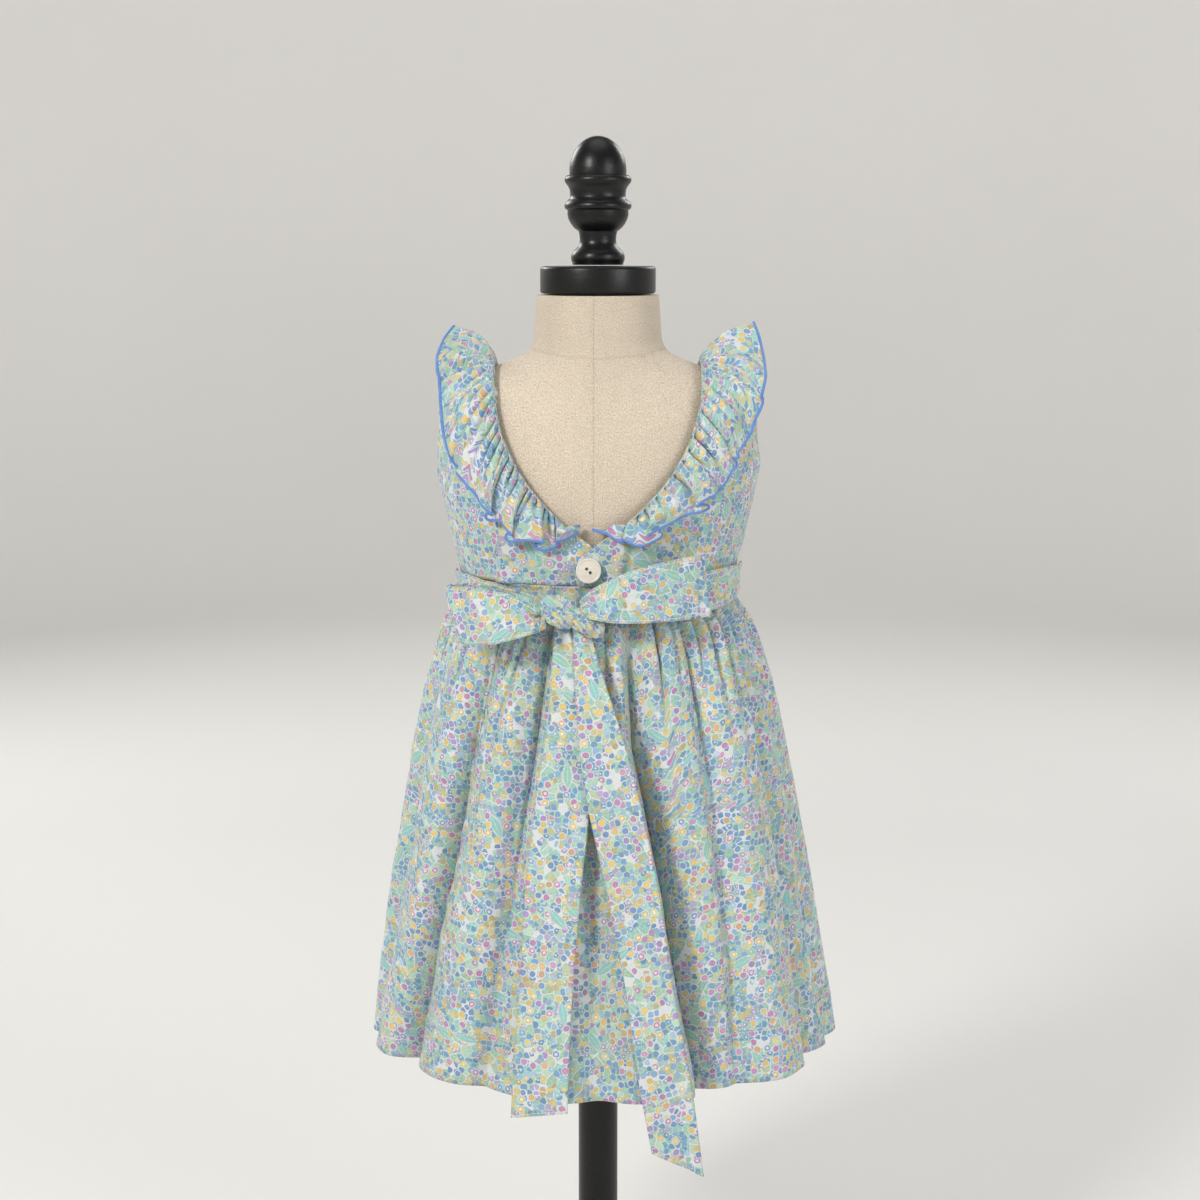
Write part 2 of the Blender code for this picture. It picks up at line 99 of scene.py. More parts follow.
def curve_through(places, values, place):
    """A smooth curve through values at rising places, which never overshoots them."""
    places, values = np.asarray(places, float), np.asarray(values, float)
    step = np.diff(places)
    slope = np.diff(values) / step
    before, after = slope[:-1], slope[1:]
    same = before * after > 0
    tangent = np.concatenate(([slope[0]], np.zeros(len(slope) - 1), [slope[-1]]))
    tangent[1:-1][same] = (2 * before * after)[same] / (before + after)[same]
    i = np.clip(np.searchsorted(places, place) - 1, 0, len(step) - 1)
    t = (place - places[i]) / step[i]
    start = values[i] * (1 + 2 * t) + tangent[i] * step[i] * t
    end = values[i + 1] * (3 - 2 * t) - tangent[i + 1] * step[i] * (1 - t)
    return start * (1 - t) ** 2 + end * t**2


def half_sizes(levels, z):
    rising = np.array(levels[::-1])
    return [curve_through(rising[:, 0], rising[:, k], z) for k in (1, 2)]


def on_levels(levels, angle, z, out=0.0):
    """Points on the ovals, at an angle from the middle back towards the right."""
    angle, z, out = np.broadcast_arrays(angle, z, out)

    def place(angle, z):
        a, b = half_sizes(levels, z)
        return np.stack([a * np.sin(angle), -b * np.cos(angle), z], axis=-1)

    across = place(angle + 0.001, z) - place(angle - 0.001, z)
    up = place(angle, z + 0.0005) - place(angle, z - 0.0005)
    normal = np.cross(across, up)
    normal /= np.linalg.norm(normal, axis=-1, keepdims=True)
    return place(angle, z) + out[..., None] * normal


def ease(t):
    t = np.clip(t, 0.0, 1.0)
    return t * t * (3 - 2 * t)


print("waist is", np.round(half_sizes(SKIRT, np.array([0.624])), 4).ravel(), "in half sizes")

# %% [markdown]
# ## Cloth helpers
# Real cotton lawn is a third of a millimetre thick and always a little uneven. A sheet is
# made from a grid of points down its middle: one layer of faces on each side and a rim that
# joins them, so it has a real edge and can be seen from both sides. The print is laid on in
# metres, measured along the cloth, so that a flower is as big on a fold as on a flat part.

# %% Cloth helpers
CLOTH = 0.0008
FOLDED = 0.0016


def crumple(across, up, size, seed, waves=14):
    """Soft random unevenness of about one, with bumps of a given size in metres."""
    dice = np.random.default_rng(seed)
    total = np.zeros(np.broadcast(across, up).shape)
    for _ in range(waves):
        turn = dice.uniform(0, 2 * math.pi)
        pace = 2 * math.pi / (size * dice.uniform(1.2, 3.0))
        along = across * math.cos(turn) + up * math.sin(turn)
        total += np.sin(pace * along + dice.uniform(0, 2 * math.pi))
    return total / math.sqrt(waves / 2)


def outward(points):
    """Unit normals of a grid whose columns go right and whose rows go up."""
    normal = np.cross(np.gradient(points, axis=1), np.gradient(points, axis=0))
    return normal / np.linalg.norm(normal, axis=2, keepdims=True)


def lengths(points, axis):
    """Distance travelled along one axis of a grid of points."""
    steps = np.linalg.norm(np.diff(points, axis=axis), axis=2)
    start = np.zeros_like(steps[:, :1] if axis == 1 else steps[:1])
    return np.concatenate([start, np.cumsum(steps, axis=axis)], axis=axis)


def fill_uv(mesh, name, corners):
    layer = mesh.uv_layers.new(name=name)
    layer.data.foreach_set("uv", np.asarray(corners, np.float32).ravel())


def cloth(name, middle, wall=CLOTH, turn=0.0, shift=(0.0, 0.0), stitch=None, lay=None, hole=None):
    """A thin closed wall round a grid of points, with its print, stitch and bake maps.

    lay gives the print's own lengths across and up, where those of the grid would slant, and
    hole marks the squares of the grid that are left out.
    """
    rows, columns = middle.shape[:2]
    count = rows * columns
    side = outward(middle) * np.broadcast_to(wall, (rows, columns))[..., None] / 2
    points = np.concatenate([(middle + side).reshape(-1, 3), (middle - side).reshape(-1, 3)])
    index = np.arange(count).reshape(rows, columns)
    front = np.stack([index[:-1, :-1], index[:-1, 1:], index[1:, 1:], index[1:, :-1]], -1)
    front = front.reshape(-1, 4) if hole is None else front[~hole]
    first, second = front.ravel(), np.roll(front, -1, axis=1).ravel()
    alone_edge = ~np.isin(first * count + second, second * count + first)
    first, second = first[alone_edge], second[alone_edge]
    rim = np.stack([second, first, first + count, second + count], -1)
    faces = np.concatenate([front, front[:, ::-1] + count, rim])
    mesh = bpy.data.meshes.new(name)
    mesh.from_pydata(points.tolist(), [], faces.tolist())
    u, v = lengths(middle, 1), lengths(middle, 0)
    u -= u[:, columns // 2][:, None]
    flat = np.stack(np.broadcast_arrays(*(lay or (u, v))), -1).reshape(-1, 2)
    spin = np.array([[math.cos(turn), math.sin(turn)], [-math.sin(turn), math.cos(turn)]])
    printed = flat @ spin + np.array(shift)
    corner = faces.ravel() % count
    fill_uv(mesh, "Print", printed[corner])
    along, off = stitch(u, v) if stitch else (u, np.ones_like(v))
    fill_uv(mesh, "Stitch", np.stack([along, off], -1).reshape(-1, 2)[corner])
    down, right = np.meshgrid(np.linspace(0, 1, rows), np.linspace(0, 1, columns), indexing="ij")
    share = np.stack([right, down], -1).reshape(-1, 2)
    top = share * (0.98, 0.48) + (0.01, 0.51)
    low = share * (0.98, 0.48) + (0.01, 0.01)
    place = np.linspace(0.01, 0.99, len(first) + 1)
    band = [
        np.stack([place[1:], np.full(len(first), 0.504)], -1),
        np.stack([place[:-1], np.full(len(first), 0.504)], -1),
        np.stack([place[:-1], np.full(len(first), 0.496)], -1),
        np.stack([place[1:], np.full(len(first), 0.496)], -1),
    ]
    sides = [top[front], low[front[:, ::-1]], np.stack(band, 1)]
    fill_uv(mesh, "OFBake", np.concatenate(sides).reshape(-1, 2))
    mesh.polygons.foreach_set(
        "material_index", np.repeat([0, 1, 0], [len(front), len(front), len(rim)])
    )
    mesh.shade_smooth()
    piece = bpy.data.objects.new(name, mesh)
    bpy.context.scene.collection.objects.link(piece)
    one_side = sum(face.area for face in mesh.polygons) / 2
    low_edge = u[0].max() - u[0].min()
    print(f"{name}: {one_side:.4f} square metres, edges {low_edge:.3f} and {v.max():.3f}")
    return piece


def belong(piece, slot, *nodes):
    """Every piece rides on the one body and stands for its plain nodes; its finish slot is not used."""
    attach(piece, "root")
    if nodes:
        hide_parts(*nodes)
    faces = len(piece.data.polygons)
    print(f"{piece.name}: {faces} faces, stands for {list(nodes)}")


print("cloth walls:", CLOTH, FOLDED)

# %% [markdown]
# ## Node helpers
# The finishes are built from small effects, each a node group with named inputs and outputs
# that is made once and placed in every material that needs it.

# %% Node helpers
def ink(code):
    """A colour given as red, green and blue in two hexadecimal digits each, as light."""
    parts = [int(code[i : i + 2], 16) / 255 for i in (0, 2, 4)]
    return [p / 12.92 if p <= 0.04045 else ((p + 0.055) / 1.055) ** 2.4 for p in parts] + [1.0]


def feed(tree, value, socket):
    if isinstance(value, bpy.types.NodeSocket):
        tree.links.new(value, socket)
    else:
        socket.default_value = value


def add_node(tree, kind, inputs=None, **settings):
    node = tree.nodes.new(kind)
    for key, value in settings.items():
        setattr(node, key, value)
    for key, value in (inputs or {}).items():
        feed(tree, value, node.inputs[key])
    return node


def maths(tree, operation, *values):
    node = add_node(tree, "ShaderNodeMath", operation=operation)
    for value, socket in zip(values, node.inputs):
        feed(tree, value, socket)
    return node.outputs[0]


def times(tree, first, second):
    return maths(tree, "MULTIPLY", first, second)


def plus(tree, first, second):
    return maths(tree, "ADD", first, second)


def minus(tree, first, second):
    return maths(tree, "SUBTRACT", first, second)


def vectors(tree, operation, *values):
    node = add_node(tree, "ShaderNodeVectorMath", operation=operation)
    for value, socket in zip(values, node.inputs):
        feed(tree, value, socket)
    return node.outputs[0]


def scaled(tree, vector, factor):
    node = add_node(tree, "ShaderNodeVectorMath", {0: vector, "Scale": factor}, operation="SCALE")
    return node.outputs[0]


def between(tree, value, low, high, start=0.0, end=1.0):
    """start below low, end above high and a soft change between."""
    inputs = {"Value": value, "From Min": low, "From Max": high, "To Min": start, "To Max": end}
    return add_node(tree, "ShaderNodeMapRange", inputs, interpolation_type="SMOOTHSTEP").outputs[0]


def mixed(tree, share, first, second, blend="MIX"):
    node = add_node(tree, "ShaderNodeMix", data_type="RGBA", blend_type=blend)
    for value, socket in zip((share, first, second), (0, 6, 7)):
        feed(tree, value, node.inputs[socket])
    return node.outputs[2]


def map_place(tree, name):
    return add_node(tree, "ShaderNodeUVMap", uv_map=name).outputs[0]


def object_place(tree):
    return add_node(tree, "ShaderNodeTexCoord").outputs["Object"]


def wear_and_shade_from_pointiness(tree, low, high, start=0.0, end=1.0):
    """A mask from how pointed the surface is: rubbed edges on convex parts, painted shade in hollows.
    """
    pointed = add_node(tree, "ShaderNodeNewGeometry").outputs["Pointiness"]
    return between(tree, pointed, low, high, start, end)


def noise(tree, place, size, detail=2.0, roughness=0.5):
    """Grey noise whose bumps are about size metres wide."""
    inputs = {"Vector": place, "Scale": 1 / size, "Detail": detail, "Roughness": roughness}
    return add_node(tree, "ShaderNodeTexNoise", inputs).outputs["Fac"]


def streaks(tree, place, paces, detail=2.0):
    """Noise drawn out along an axis: its paces are bumps a metre along each axis."""
    inputs = {"Vector": vectors(tree, "MULTIPLY", place, paces), "Scale": 1.0, "Detail": detail}
    return add_node(tree, "ShaderNodeTexNoise", inputs).outputs["Fac"]


def cells_of(tree, place, scale=1.0, scatter=1.0, feature="F1"):
    """Cells grown round scattered points of a plane."""
    inputs = {"Vector": place, "Scale": scale, "Randomness": scatter}
    return add_node(
        tree, "ShaderNodeTexVoronoi", inputs, voronoi_dimensions="2D", feature=feature
    ).outputs


def split(tree, vector):
    return add_node(tree, "ShaderNodeSeparateXYZ", {0: vector}).outputs


def ramp(tree, value, stops, interpolation="CONSTANT"):
    """Colours at places along a value; the fourth number of a colour is its cover."""
    node = add_node(tree, "ShaderNodeValToRGB", {"Fac": value})
    node.color_ramp.interpolation = interpolation
    elements = node.color_ramp.elements
    elements[0].position, elements[1].position = stops[0][0], stops[-1][0]
    for place, colour in stops[1:-1]:
        elements.new(place).color = colour
    elements[0].color, elements[-1].color = stops[0][1], stops[-1][1]
    return node.outputs


def new_effect(name, inputs, outputs):
    """An empty node group with its sockets, and the nodes at its two ends."""
    group = bpy.data.node_groups.new(name, "ShaderNodeTree")
    for title, kind, value in inputs:
        socket = group.interface.new_socket(title, in_out="INPUT", socket_type=f"NodeSocket{kind}")
        if value is not None:
            socket.default_value = value
    for title, kind in outputs:
        group.interface.new_socket(title, in_out="OUTPUT", socket_type=f"NodeSocket{kind}")
    return group, group.nodes.new("NodeGroupInput").outputs, group.nodes.new("NodeGroupOutput").inputs


def effect(tree, group, **inputs):
    node = add_node(tree, "ShaderNodeGroup", node_tree=group)
    for title, value in inputs.items():
        feed(tree, value, node.inputs[title.replace("_", " ")])
    return node.outputs


def new_finish(name, roughness, **constants):
    """A material, its tree and its one shader with the numbers that are the same all over."""
    material = bpy.data.materials.new(name)
    material.use_nodes = True
    tree = material.node_tree
    shader = tree.nodes["Principled BSDF"]
    shader.inputs["Roughness"].default_value = roughness
    for title, value in constants.items():
        shader.inputs[title.replace("_", " ")].default_value = value
    return material, tree, shader


def raised(tree, shader, height, distance, strength=1.0):
    """A height in parts of distance, in metres, shown as a bump."""
    inputs = {"Height": height, "Distance": distance, "Strength": strength}
    bump = add_node(tree, "ShaderNodeBump", inputs)
    tree.links.new(bump.outputs[0], shader.inputs["Normal"])


print("node helpers ready")

# %% [markdown]
# ## The petals of the print
# The print is a dense all-over one: small rounded petals that never quite touch, over paler
# leaves, on an off-white ground. Cells grown round scattered points do just that. Each cell
# is rounded by its distance from its own point and parted from the next by its distance to
# their shared border. It also hands on its centre, so a whole petal can take one colour.

# %% Rounded cells
petals, into, out_of = new_effect(
    "Rounded cells",
    [("Place", "Vector", None), ("Size", "Float", 0.005), ("Gap", "Float", 0.06),
     ("Round", "Float", 0.5), ("Scatter", "Float", 0.9)],
    [("Mask", "Float"), ("Rim", "Float"), ("Core", "Float"), ("Reach", "Float"),
     ("Dice", "Color"), ("Centre", "Vector")],
)
grown = scaled(petals, into["Place"], maths(petals, "DIVIDE", 1.0, into["Size"]))
cell = cells_of(petals, grown, 1.0, into["Scatter"])
border = cells_of(petals, grown, 1.0, into["Scatter"], "DISTANCE_TO_EDGE")["Distance"]
inside = between(petals, border, into["Gap"], plus(petals, into["Gap"], 0.05))
reach = cell["Distance"]
rounded = between(petals, reach, minus(petals, into["Round"], 0.05), into["Round"], 1.0, 0.0)
mask = times(petals, inside, rounded)
deep = between(petals, border, into["Gap"], plus(petals, into["Gap"], 0.16))
middle_part = between(petals, reach, minus(petals, into["Round"], 0.16), into["Round"], 1.0, 0.0)
feed(petals, mask, out_of["Mask"])
feed(
    petals,
    minus(petals, mask, times(petals, deep, middle_part)),
    out_of["Rim"],
)
feed(petals, between(petals, reach, 0.10, 0.20, 1.0, 0.0), out_of["Core"])
feed(petals, reach, out_of["Reach"])
feed(petals, cell["Color"], out_of["Dice"])
feed(petals, scaled(petals, cell["Position"], into["Size"]), out_of["Centre"])
print("effect:", petals.name)

# %% [markdown]
# ## The whole print
# Four layers go over the ground, as the screens of a printer would: pale leaves with veins,
# groups of petals that share a colour, single bright dots, and a few long turquoise leaves.
# Slow noise read at the centre of each petal decides its family of colours, which is what
# gathers the blues and the yellows into loose bunches.

# %% Ditsy print
print_effect, into, out_of = new_effect(
    "Ditsy print", [("Place", "Vector", None)], [("Color", "Color"), ("Ink", "Float")]
)
tree = print_effect
drift = add_node(tree, "ShaderNodeTexNoise", {"Vector": into["Place"], "Scale": 230.0, "Detail": 1.0})
wander = vectors(tree, "SUBTRACT", drift.outputs["Color"], (0.5, 0.5, 0.5))
place = vectors(tree, "ADD", into["Place"], scaled(tree, wander, 0.0014))
ground = mixed(tree, noise(tree, into["Place"], 0.030), ink("e0e0da"), ink("d5dce2"))
NONE = (1.0, 1.0, 1.0, 0.0)
LEAF_SIZE, VEIN_SIZE, PETAL_SIZE, DOT_SIZE = 0.0080, 0.0034, 0.0044, 0.0070
BLADE_LENGTH, BLADE_WIDTH, BLADE_PATCH, BLADE_SHARE = 0.0190, 0.0095, 0.040, 0.060
DOT_SHARE = 0.43


def toned(tree, colour, dice, low, high):
    """The same colour a little darker or lighter, by a number from 0 to 1."""
    grey = ramp(tree, dice, [(0.0, (low,) * 3 + (1,)), (1.0, (high,) * 3 + (1,))], "LINEAR")[0]
    return mixed(tree, 1.0, colour, grey, "MULTIPLY")


def printed_cells(tree, layer, cells, family, stops, rim_share, ring=None):
    """One screen of the print: its colours by family, a darker outline, pale hearts in some."""
    dice = split(tree, cells["Dice"])
    colours = ramp(tree, family, stops)
    cover = times(tree, cells["Mask"], colours[1])
    tone = toned(tree, colours[0], dice[2], 0.86, 1.12)
    outline = toned(tree, colours[0], dice[1], 0.64, 0.80)
    tone = mixed(tree, times(tree, cells["Rim"], rim_share), tone, outline)
    if ring is not None:
        heart = times(tree, cells["Core"], maths(tree, "GREATER_THAN", dice[1], ring))
        tone = mixed(tree, times(tree, heart, 0.75), tone, ink("f4efe4"))
    return mixed(tree, cover, layer, tone), cover


leaf = effect(tree, petals, Place=place, Size=LEAF_SIZE, Gap=0.026, Round=0.80, Scatter=0.95)
leaf_dice = split(tree, leaf["Dice"])
leaf_family = plus(tree, noise(tree, leaf["Centre"], 0.020, 0.0), times(tree, leaf_dice[0], 0.20)
)
layer, leaf_cover = printed_cells(tree, ground, leaf, leaf_family, [
    (0.00, ink("a6c8b4")), (0.40, ink("98c4b3")), (0.47, NONE), (0.50, ink("b0cfba")),
    (0.57, ink("92c6bd")), (0.63, ink("b8c2a4")), (0.69, ink("9cc0a8")), (0.75, NONE),
    (0.84, ink("a3cbbd")),
], 0.45)
veins = effect(tree, petals, Place=place, Size=VEIN_SIZE, Gap=0.035, Round=2.0, Scatter=1.0)
vein_line = times(tree, minus(tree, 1.0, veins["Mask"]), leaf_cover)
layer = mixed(tree, times(tree, vein_line, 0.45), layer, ink("dbe6c8"))

petal = effect(tree, petals, Place=place, Size=PETAL_SIZE, Gap=0.075, Round=0.54, Scatter=0.80)
petal_dice = split(tree, petal["Dice"])
family = maths(
    tree, "ADD",
    between(tree, noise(tree, petal["Centre"], 0.014, 0.0), 0.30, 0.70),
    times(tree, minus(tree, petal_dice[1], 0.5), 0.34),
)
layer, petal_cover = printed_cells(tree, layer, petal, family, [
    (0.00, ink("7199c8")), (0.13, ink("88abd3")), (0.21, ink("a4c2dd")), (0.28, NONE),
    (0.39, ink("a3cab6")), (0.425, ink("c48fbb")), (0.455, NONE), (0.565, ink("e3c473")),
    (0.630, ink("c8ac78")), (0.69, ink("d5c793")), (0.73, NONE), (0.80, ink("6a91c3")),
    (0.88, ink("86a7d2")), (0.97, ink("b29ccd")),
], 0.60, 0.74)

dot = effect(
    tree, petals, Place=vectors(tree, "ADD", place, (0.37, 0.19, 0.0)),
    Size=DOT_SIZE, Gap=0.03, Round=0.330, Scatter=0.75,
)
dot_dice = split(tree, dot["Dice"])
halo = between(tree, dot["Reach"], 0.38, 0.43, 1.0, 0.0)
halo = times(tree, halo, maths(tree, "LESS_THAN", dot_dice[0], DOT_SHARE))
layer = mixed(tree, times(tree, halo, 0.85), layer, ground)
layer, dot_cover = printed_cells(tree, layer, dot, dot_dice[0], [
    (0.00, ink("c182b5")), (0.11, ink("a98cc6")), (0.15, ink("e6c267")), (0.25, ink("dba878")),
    (0.275, ink("7597c8")), (0.34, ink("cc90b0")), (0.39, ink("decb88")), (DOT_SHARE, NONE),
], 0.60, 0.76)

patch = cells_of(tree, into["Place"], 1 / BLADE_PATCH)
leaf_turn = times(tree, split(tree, patch["Color"])[0], 2 * math.pi)
turned = add_node(
    tree, "ShaderNodeVectorRotate", {"Vector": place, "Angle": leaf_turn}, rotation_type="Z_AXIS"
).outputs[0]
drawn = vectors(tree, "MULTIPLY", turned, (1 / BLADE_LENGTH, 1 / BLADE_WIDTH, 0.0))
blade = cells_of(tree, drawn, 1.0, 0.45)
blade_dice = split(tree, blade["Color"])
along_blade, across_blade = split(tree, vectors(tree, "SUBTRACT", drawn, blade["Position"]))[:2]
across_blade = maths(tree, "ABSOLUTE", across_blade)
point = times(tree, times(tree, along_blade, along_blade), 4.6)
lens_shape = minus(tree, minus(tree, 1.0, point), times(tree, across_blade, 3.4))
chosen = maths(tree, "LESS_THAN", blade_dice[0], BLADE_SHARE)
blade_halo = times(tree, between(tree, lens_shape, -0.42, -0.30), chosen)
blade_mask = times(tree, between(tree, lens_shape, 0.0, 0.10), chosen)
rib = between(tree, across_blade, 0.015, 0.050, 1.0, 0.0)
blade_colour = mixed(tree, blade_dice[1], ink("8fcbc8"), ink("8fc6b0"))
blade_rim = between(tree, lens_shape, 0.08, 0.30, 0.55, 0.0)
blade_colour = mixed(tree, blade_rim, blade_colour, ink("70b3b2"))
blade_colour = mixed(tree, times(tree, rib, 0.45), blade_colour, ink("c4ebdf"))
layer = mixed(tree, times(tree, blade_halo, 0.60), layer, ground)
layer = mixed(tree, times(tree, blade_mask, 0.95), layer, blade_colour)

wash = noise(tree, into["Place"], 0.0016, 3.0, 0.65)
film = mixed(tree, 0.12, layer, ink("b3bdb9"))
washed = toned(tree, film, between(tree, wash, 0.25, 0.75), 0.90, 1.06)
feed(tree, washed, out_of["Color"])
cover = maths(tree, "MAXIMUM", maths(tree, "MAXIMUM", petal_cover, dot_cover), leaf_cover)
feed(tree, cover, out_of["Ink"])
print("effect:", print_effect.name, len(tree.nodes), "nodes")

# %% [markdown]
# ## Weave and stitches
# A plain weave is two sets of threads that pass over and under each other, with the odd
# thicker thread. A row of machine stitches is a dashed groove with the cloth puckered beside
# it, and its dent mask also gives painted shade along the row. Both read a map in metres, so
# they keep their size on every piece.

# %% Weave and stitches
weave, into, out_of = new_effect(
    "Plain weave",
    [("Place", "Vector", None), ("Thread", "Float", 0.0005), ("Slubs", "Float", 0.3)],
    [("Height", "Float"), ("Slub", "Float")],
)
tree = weave
threads = split(tree, scaled(tree, into["Place"], maths(tree, "DIVIDE", math.pi, into["Thread"])))
warp = maths(tree, "ABSOLUTE", maths(tree, "SINE", threads[0]))
weft = maths(tree, "ABSOLUTE", maths(tree, "SINE", threads[1]))
long_way = streaks(tree, into["Place"], (60.0, 1100.0, 0.0))
short_way = streaks(tree, into["Place"], (1100.0, 60.0, 0.0))
slub = plus(tree, between(tree, long_way, 0.52, 0.78), between(tree, short_way, 0.52, 0.78))
fine = times(tree, plus(tree, warp, weft), 0.5)
feed(tree, plus(tree, fine, times(tree, slub, into["Slubs"])), out_of["Height"])
feed(tree, slub, out_of["Slub"])
print("effect:", weave.name)

stitches, into, out_of = new_effect(
    "Stitch row",
    [("Place", "Vector", None), ("Length", "Float", 0.0026), ("Width", "Float", 0.00035)],
    [("Thread", "Float"), ("Dent and shade", "Float")],
)
tree = stitches
run, off = split(tree, into["Place"])[:2]
off = maths(tree, "ABSOLUTE", off)
dash = maths(tree, "FRACT", maths(tree, "DIVIDE", run, into["Length"]))
dash = between(tree, maths(tree, "ABSOLUTE", minus(tree, dash, 0.5)), 0.30, 0.36, 1.0, 0.0)
line = between(tree, off, times(tree, into["Width"], 0.6), into["Width"], 1.0, 0.0)
feed(tree, times(tree, dash, line), out_of["Thread"])
# the dent beside the row: a groove in the bump, and painted shade in the finishes' colour
feed(tree, between(tree, off, 0.0, 0.0022, 1.0, 0.0), out_of["Dent and shade"])
print("effect:", stitches.name)

# %% [markdown]
# ## Printed cotton
# The right side shows the whole print. The wrong side shows it as it comes through thin
# lawn: the same drawing, paler and greyer. Both have the weave, soft creases that pressing
# leaves behind, a little sheen from the fibres, and their stitch rows, with painted shade
# along the dent beside each row.

# %% Printed cotton
def cotton(name, fade, veil):
    material, tree, shader = new_finish(
        name, 0.82, Sheen_Weight=0.18, Sheen_Roughness=0.45, Specular_IOR_Level=0.22
    )
    place = map_place(tree, "Print")
    row = map_place(tree, "Stitch")
    drawing = effect(tree, print_effect, Place=place)
    threads = effect(tree, weave, Place=place, Thread=0.00045, Slubs=0.25)
    sewn = effect(tree, stitches, Place=row)
    colour = mixed(tree, fade, drawing["Color"], veil)
    colour = mixed(tree, times(tree, threads["Slub"], 0.06), colour, ink("ffffff"))
    # painted shade: the cloth is darkened along the dent beside each stitch row
    colour = mixed(tree, times(tree, sewn["Dent and shade"], 0.16), colour, ink("6d7f86"))
    colour = mixed(tree, times(tree, sewn["Thread"], 0.75), colour, ink("eceae2"))
    feed(tree, colour, shader.inputs["Base Color"])
    rough = plus(tree, times(tree, drawing["Ink"], -0.05), 0.86)
    feed(tree, rough, shader.inputs["Roughness"])
    crease = add_node(tree, "ShaderNodeTexNoise", {
        "Vector": place, "Scale": 55.0, "Detail": 5.0, "Roughness": 0.55, "Distortion": 0.6,
    }).outputs["Fac"]
    height = plus(tree, times(tree, crease, 8.0), threads["Height"])
    height = minus(tree, height, times(tree, sewn["Dent and shade"], 3.0))
    height = plus(tree, height, times(tree, sewn["Thread"], 2.0))
    raised(tree, shader, height, 0.00011)
    return material


print_cotton = cotton("printed_lawn", 0.0, ink("ffffff"))
print_reverse = cotton("printed_lawn_reverse", 0.42, ink("e3e6e2"))
print("cotton:", print_cotton.name, print_reverse.name)


def printed(piece, inside=print_reverse):
    """The print on the outer layer and the rim, and its wrong side on the inner layer."""
    piece.data.materials.append(print_cotton)
    piece.data.materials.append(inside)
    return piece

# %% [markdown]
# ## Blue overlock thread
# The free edge of the ruffle is bound by close stitches of blue thread, which lie across it
# like a tiny rope, with painted shade in the grooves between the strands.

# %% Blue thread
blue_thread, tree, shader = new_finish(
    "overlock_thread", 0.62, Sheen_Weight=0.25, Sheen_Roughness=0.4, Specular_IOR_Level=0.35
)
place = map_place(tree, "Print")
lay = plus(tree, split(tree, place)[0], times(tree, split(tree, place)[1], 0.22))
strand = maths(tree, "ABSOLUTE", maths(tree, "SINE", times(tree, lay, math.pi / 0.0007)))
colour = mixed(tree, noise(tree, place, 0.006, 3.0), ink("4d7dca"), ink("83a9e1"))
# painted shade: the thread is darker in the grooves between its strands
colour = mixed(tree, between(tree, strand, 0.0, 0.45, 0.45, 0.0), colour, ink("3a61ab"))
feed(tree, colour, shader.inputs["Base Color"])
raised(tree, shader, strand, 0.00018)
print("thread:", blue_thread.name)

# %% [markdown]
# ## Linen, black paint and button
# The form is covered in unbleached linen with thick slubs and seamed down the middle of its
# back and round the foot of its neck, with painted shade along the seams. The wood is painted
# satin black, with brush marks, dust in the grooves and rubbed edges. The button is off-white
# with a faint grain and painted shade in its hollows.

# %% Linen
BACK_SEAM, NECK_SEAM_HEIGHT, SEAM_STITCH = 0.0030, 0.7835, 0.0034
linen, tree, shader = new_finish(
    "form_linen", 0.88, Sheen_Weight=0.12, Sheen_Roughness=0.5, Specular_IOR_Level=0.2
)
place = map_place(tree, "Weave")
threads = effect(tree, weave, Place=place, Thread=0.0009, Slubs=0.7)
seat = object_place(tree)
x, y, z = split(tree, seat)
behind = maths(tree, "LESS_THAN", y, 0.0)
seam_off = plus(tree, x, BACK_SEAM)
seam_place = add_node(tree, "ShaderNodeCombineXYZ", {0: z, 1: seam_off}).outputs[0]
back_seam = effect(tree, stitches, Place=seam_place, Length=SEAM_STITCH, Width=0.0003)
dip = times(tree, times(tree, x, x), 2.6)
neck_off = minus(tree, minus(tree, z, NECK_SEAM_HEIGHT), dip)
neck_place = add_node(tree, "ShaderNodeCombineXYZ", {0: x, 1: neck_off}).outputs[0]
neck_seam = effect(tree, stitches, Place=neck_place, Length=SEAM_STITCH, Width=0.0003)
# the dent of both seams: a groove in the bump and painted shade in the colour
seam_dent_and_shade = maths(
    tree, "MAXIMUM", times(tree, back_seam["Dent and shade"], behind), neck_seam["Dent and shade"]
)
seam_thread = maths(
    tree, "MAXIMUM", times(tree, back_seam["Thread"], behind),
    times(tree, neck_seam["Thread"], 0.6),
)
mottle = between(tree, noise(tree, place, 0.0012, 3.0, 0.7), 0.30, 0.70)
flecks = between(tree, noise(tree, place, 0.0021, 2.0, 0.8), 0.66, 0.80, 0.0, 0.5)
colour = mixed(tree, mottle, ink("c5b194"), ink("f2e6d7"))
colour = mixed(tree, times(tree, threads["Slub"], 0.35), colour, ink("f3e9da"))
colour = mixed(tree, flecks, colour, ink("b59a74"))
# painted shade: the linen is darkened along the dent of each seam
colour = mixed(tree, times(tree, seam_dent_and_shade, 0.07), colour, ink("9c8566"))
colour = mixed(tree, times(tree, seam_thread, 0.42), colour, ink("8d7450"))
feed(tree, colour, shader.inputs["Base Color"])
height = minus(tree, threads["Height"], times(tree, seam_dent_and_shade, 0.9))
raised(tree, shader, height, 0.00035)
print("linen:", linen.name)

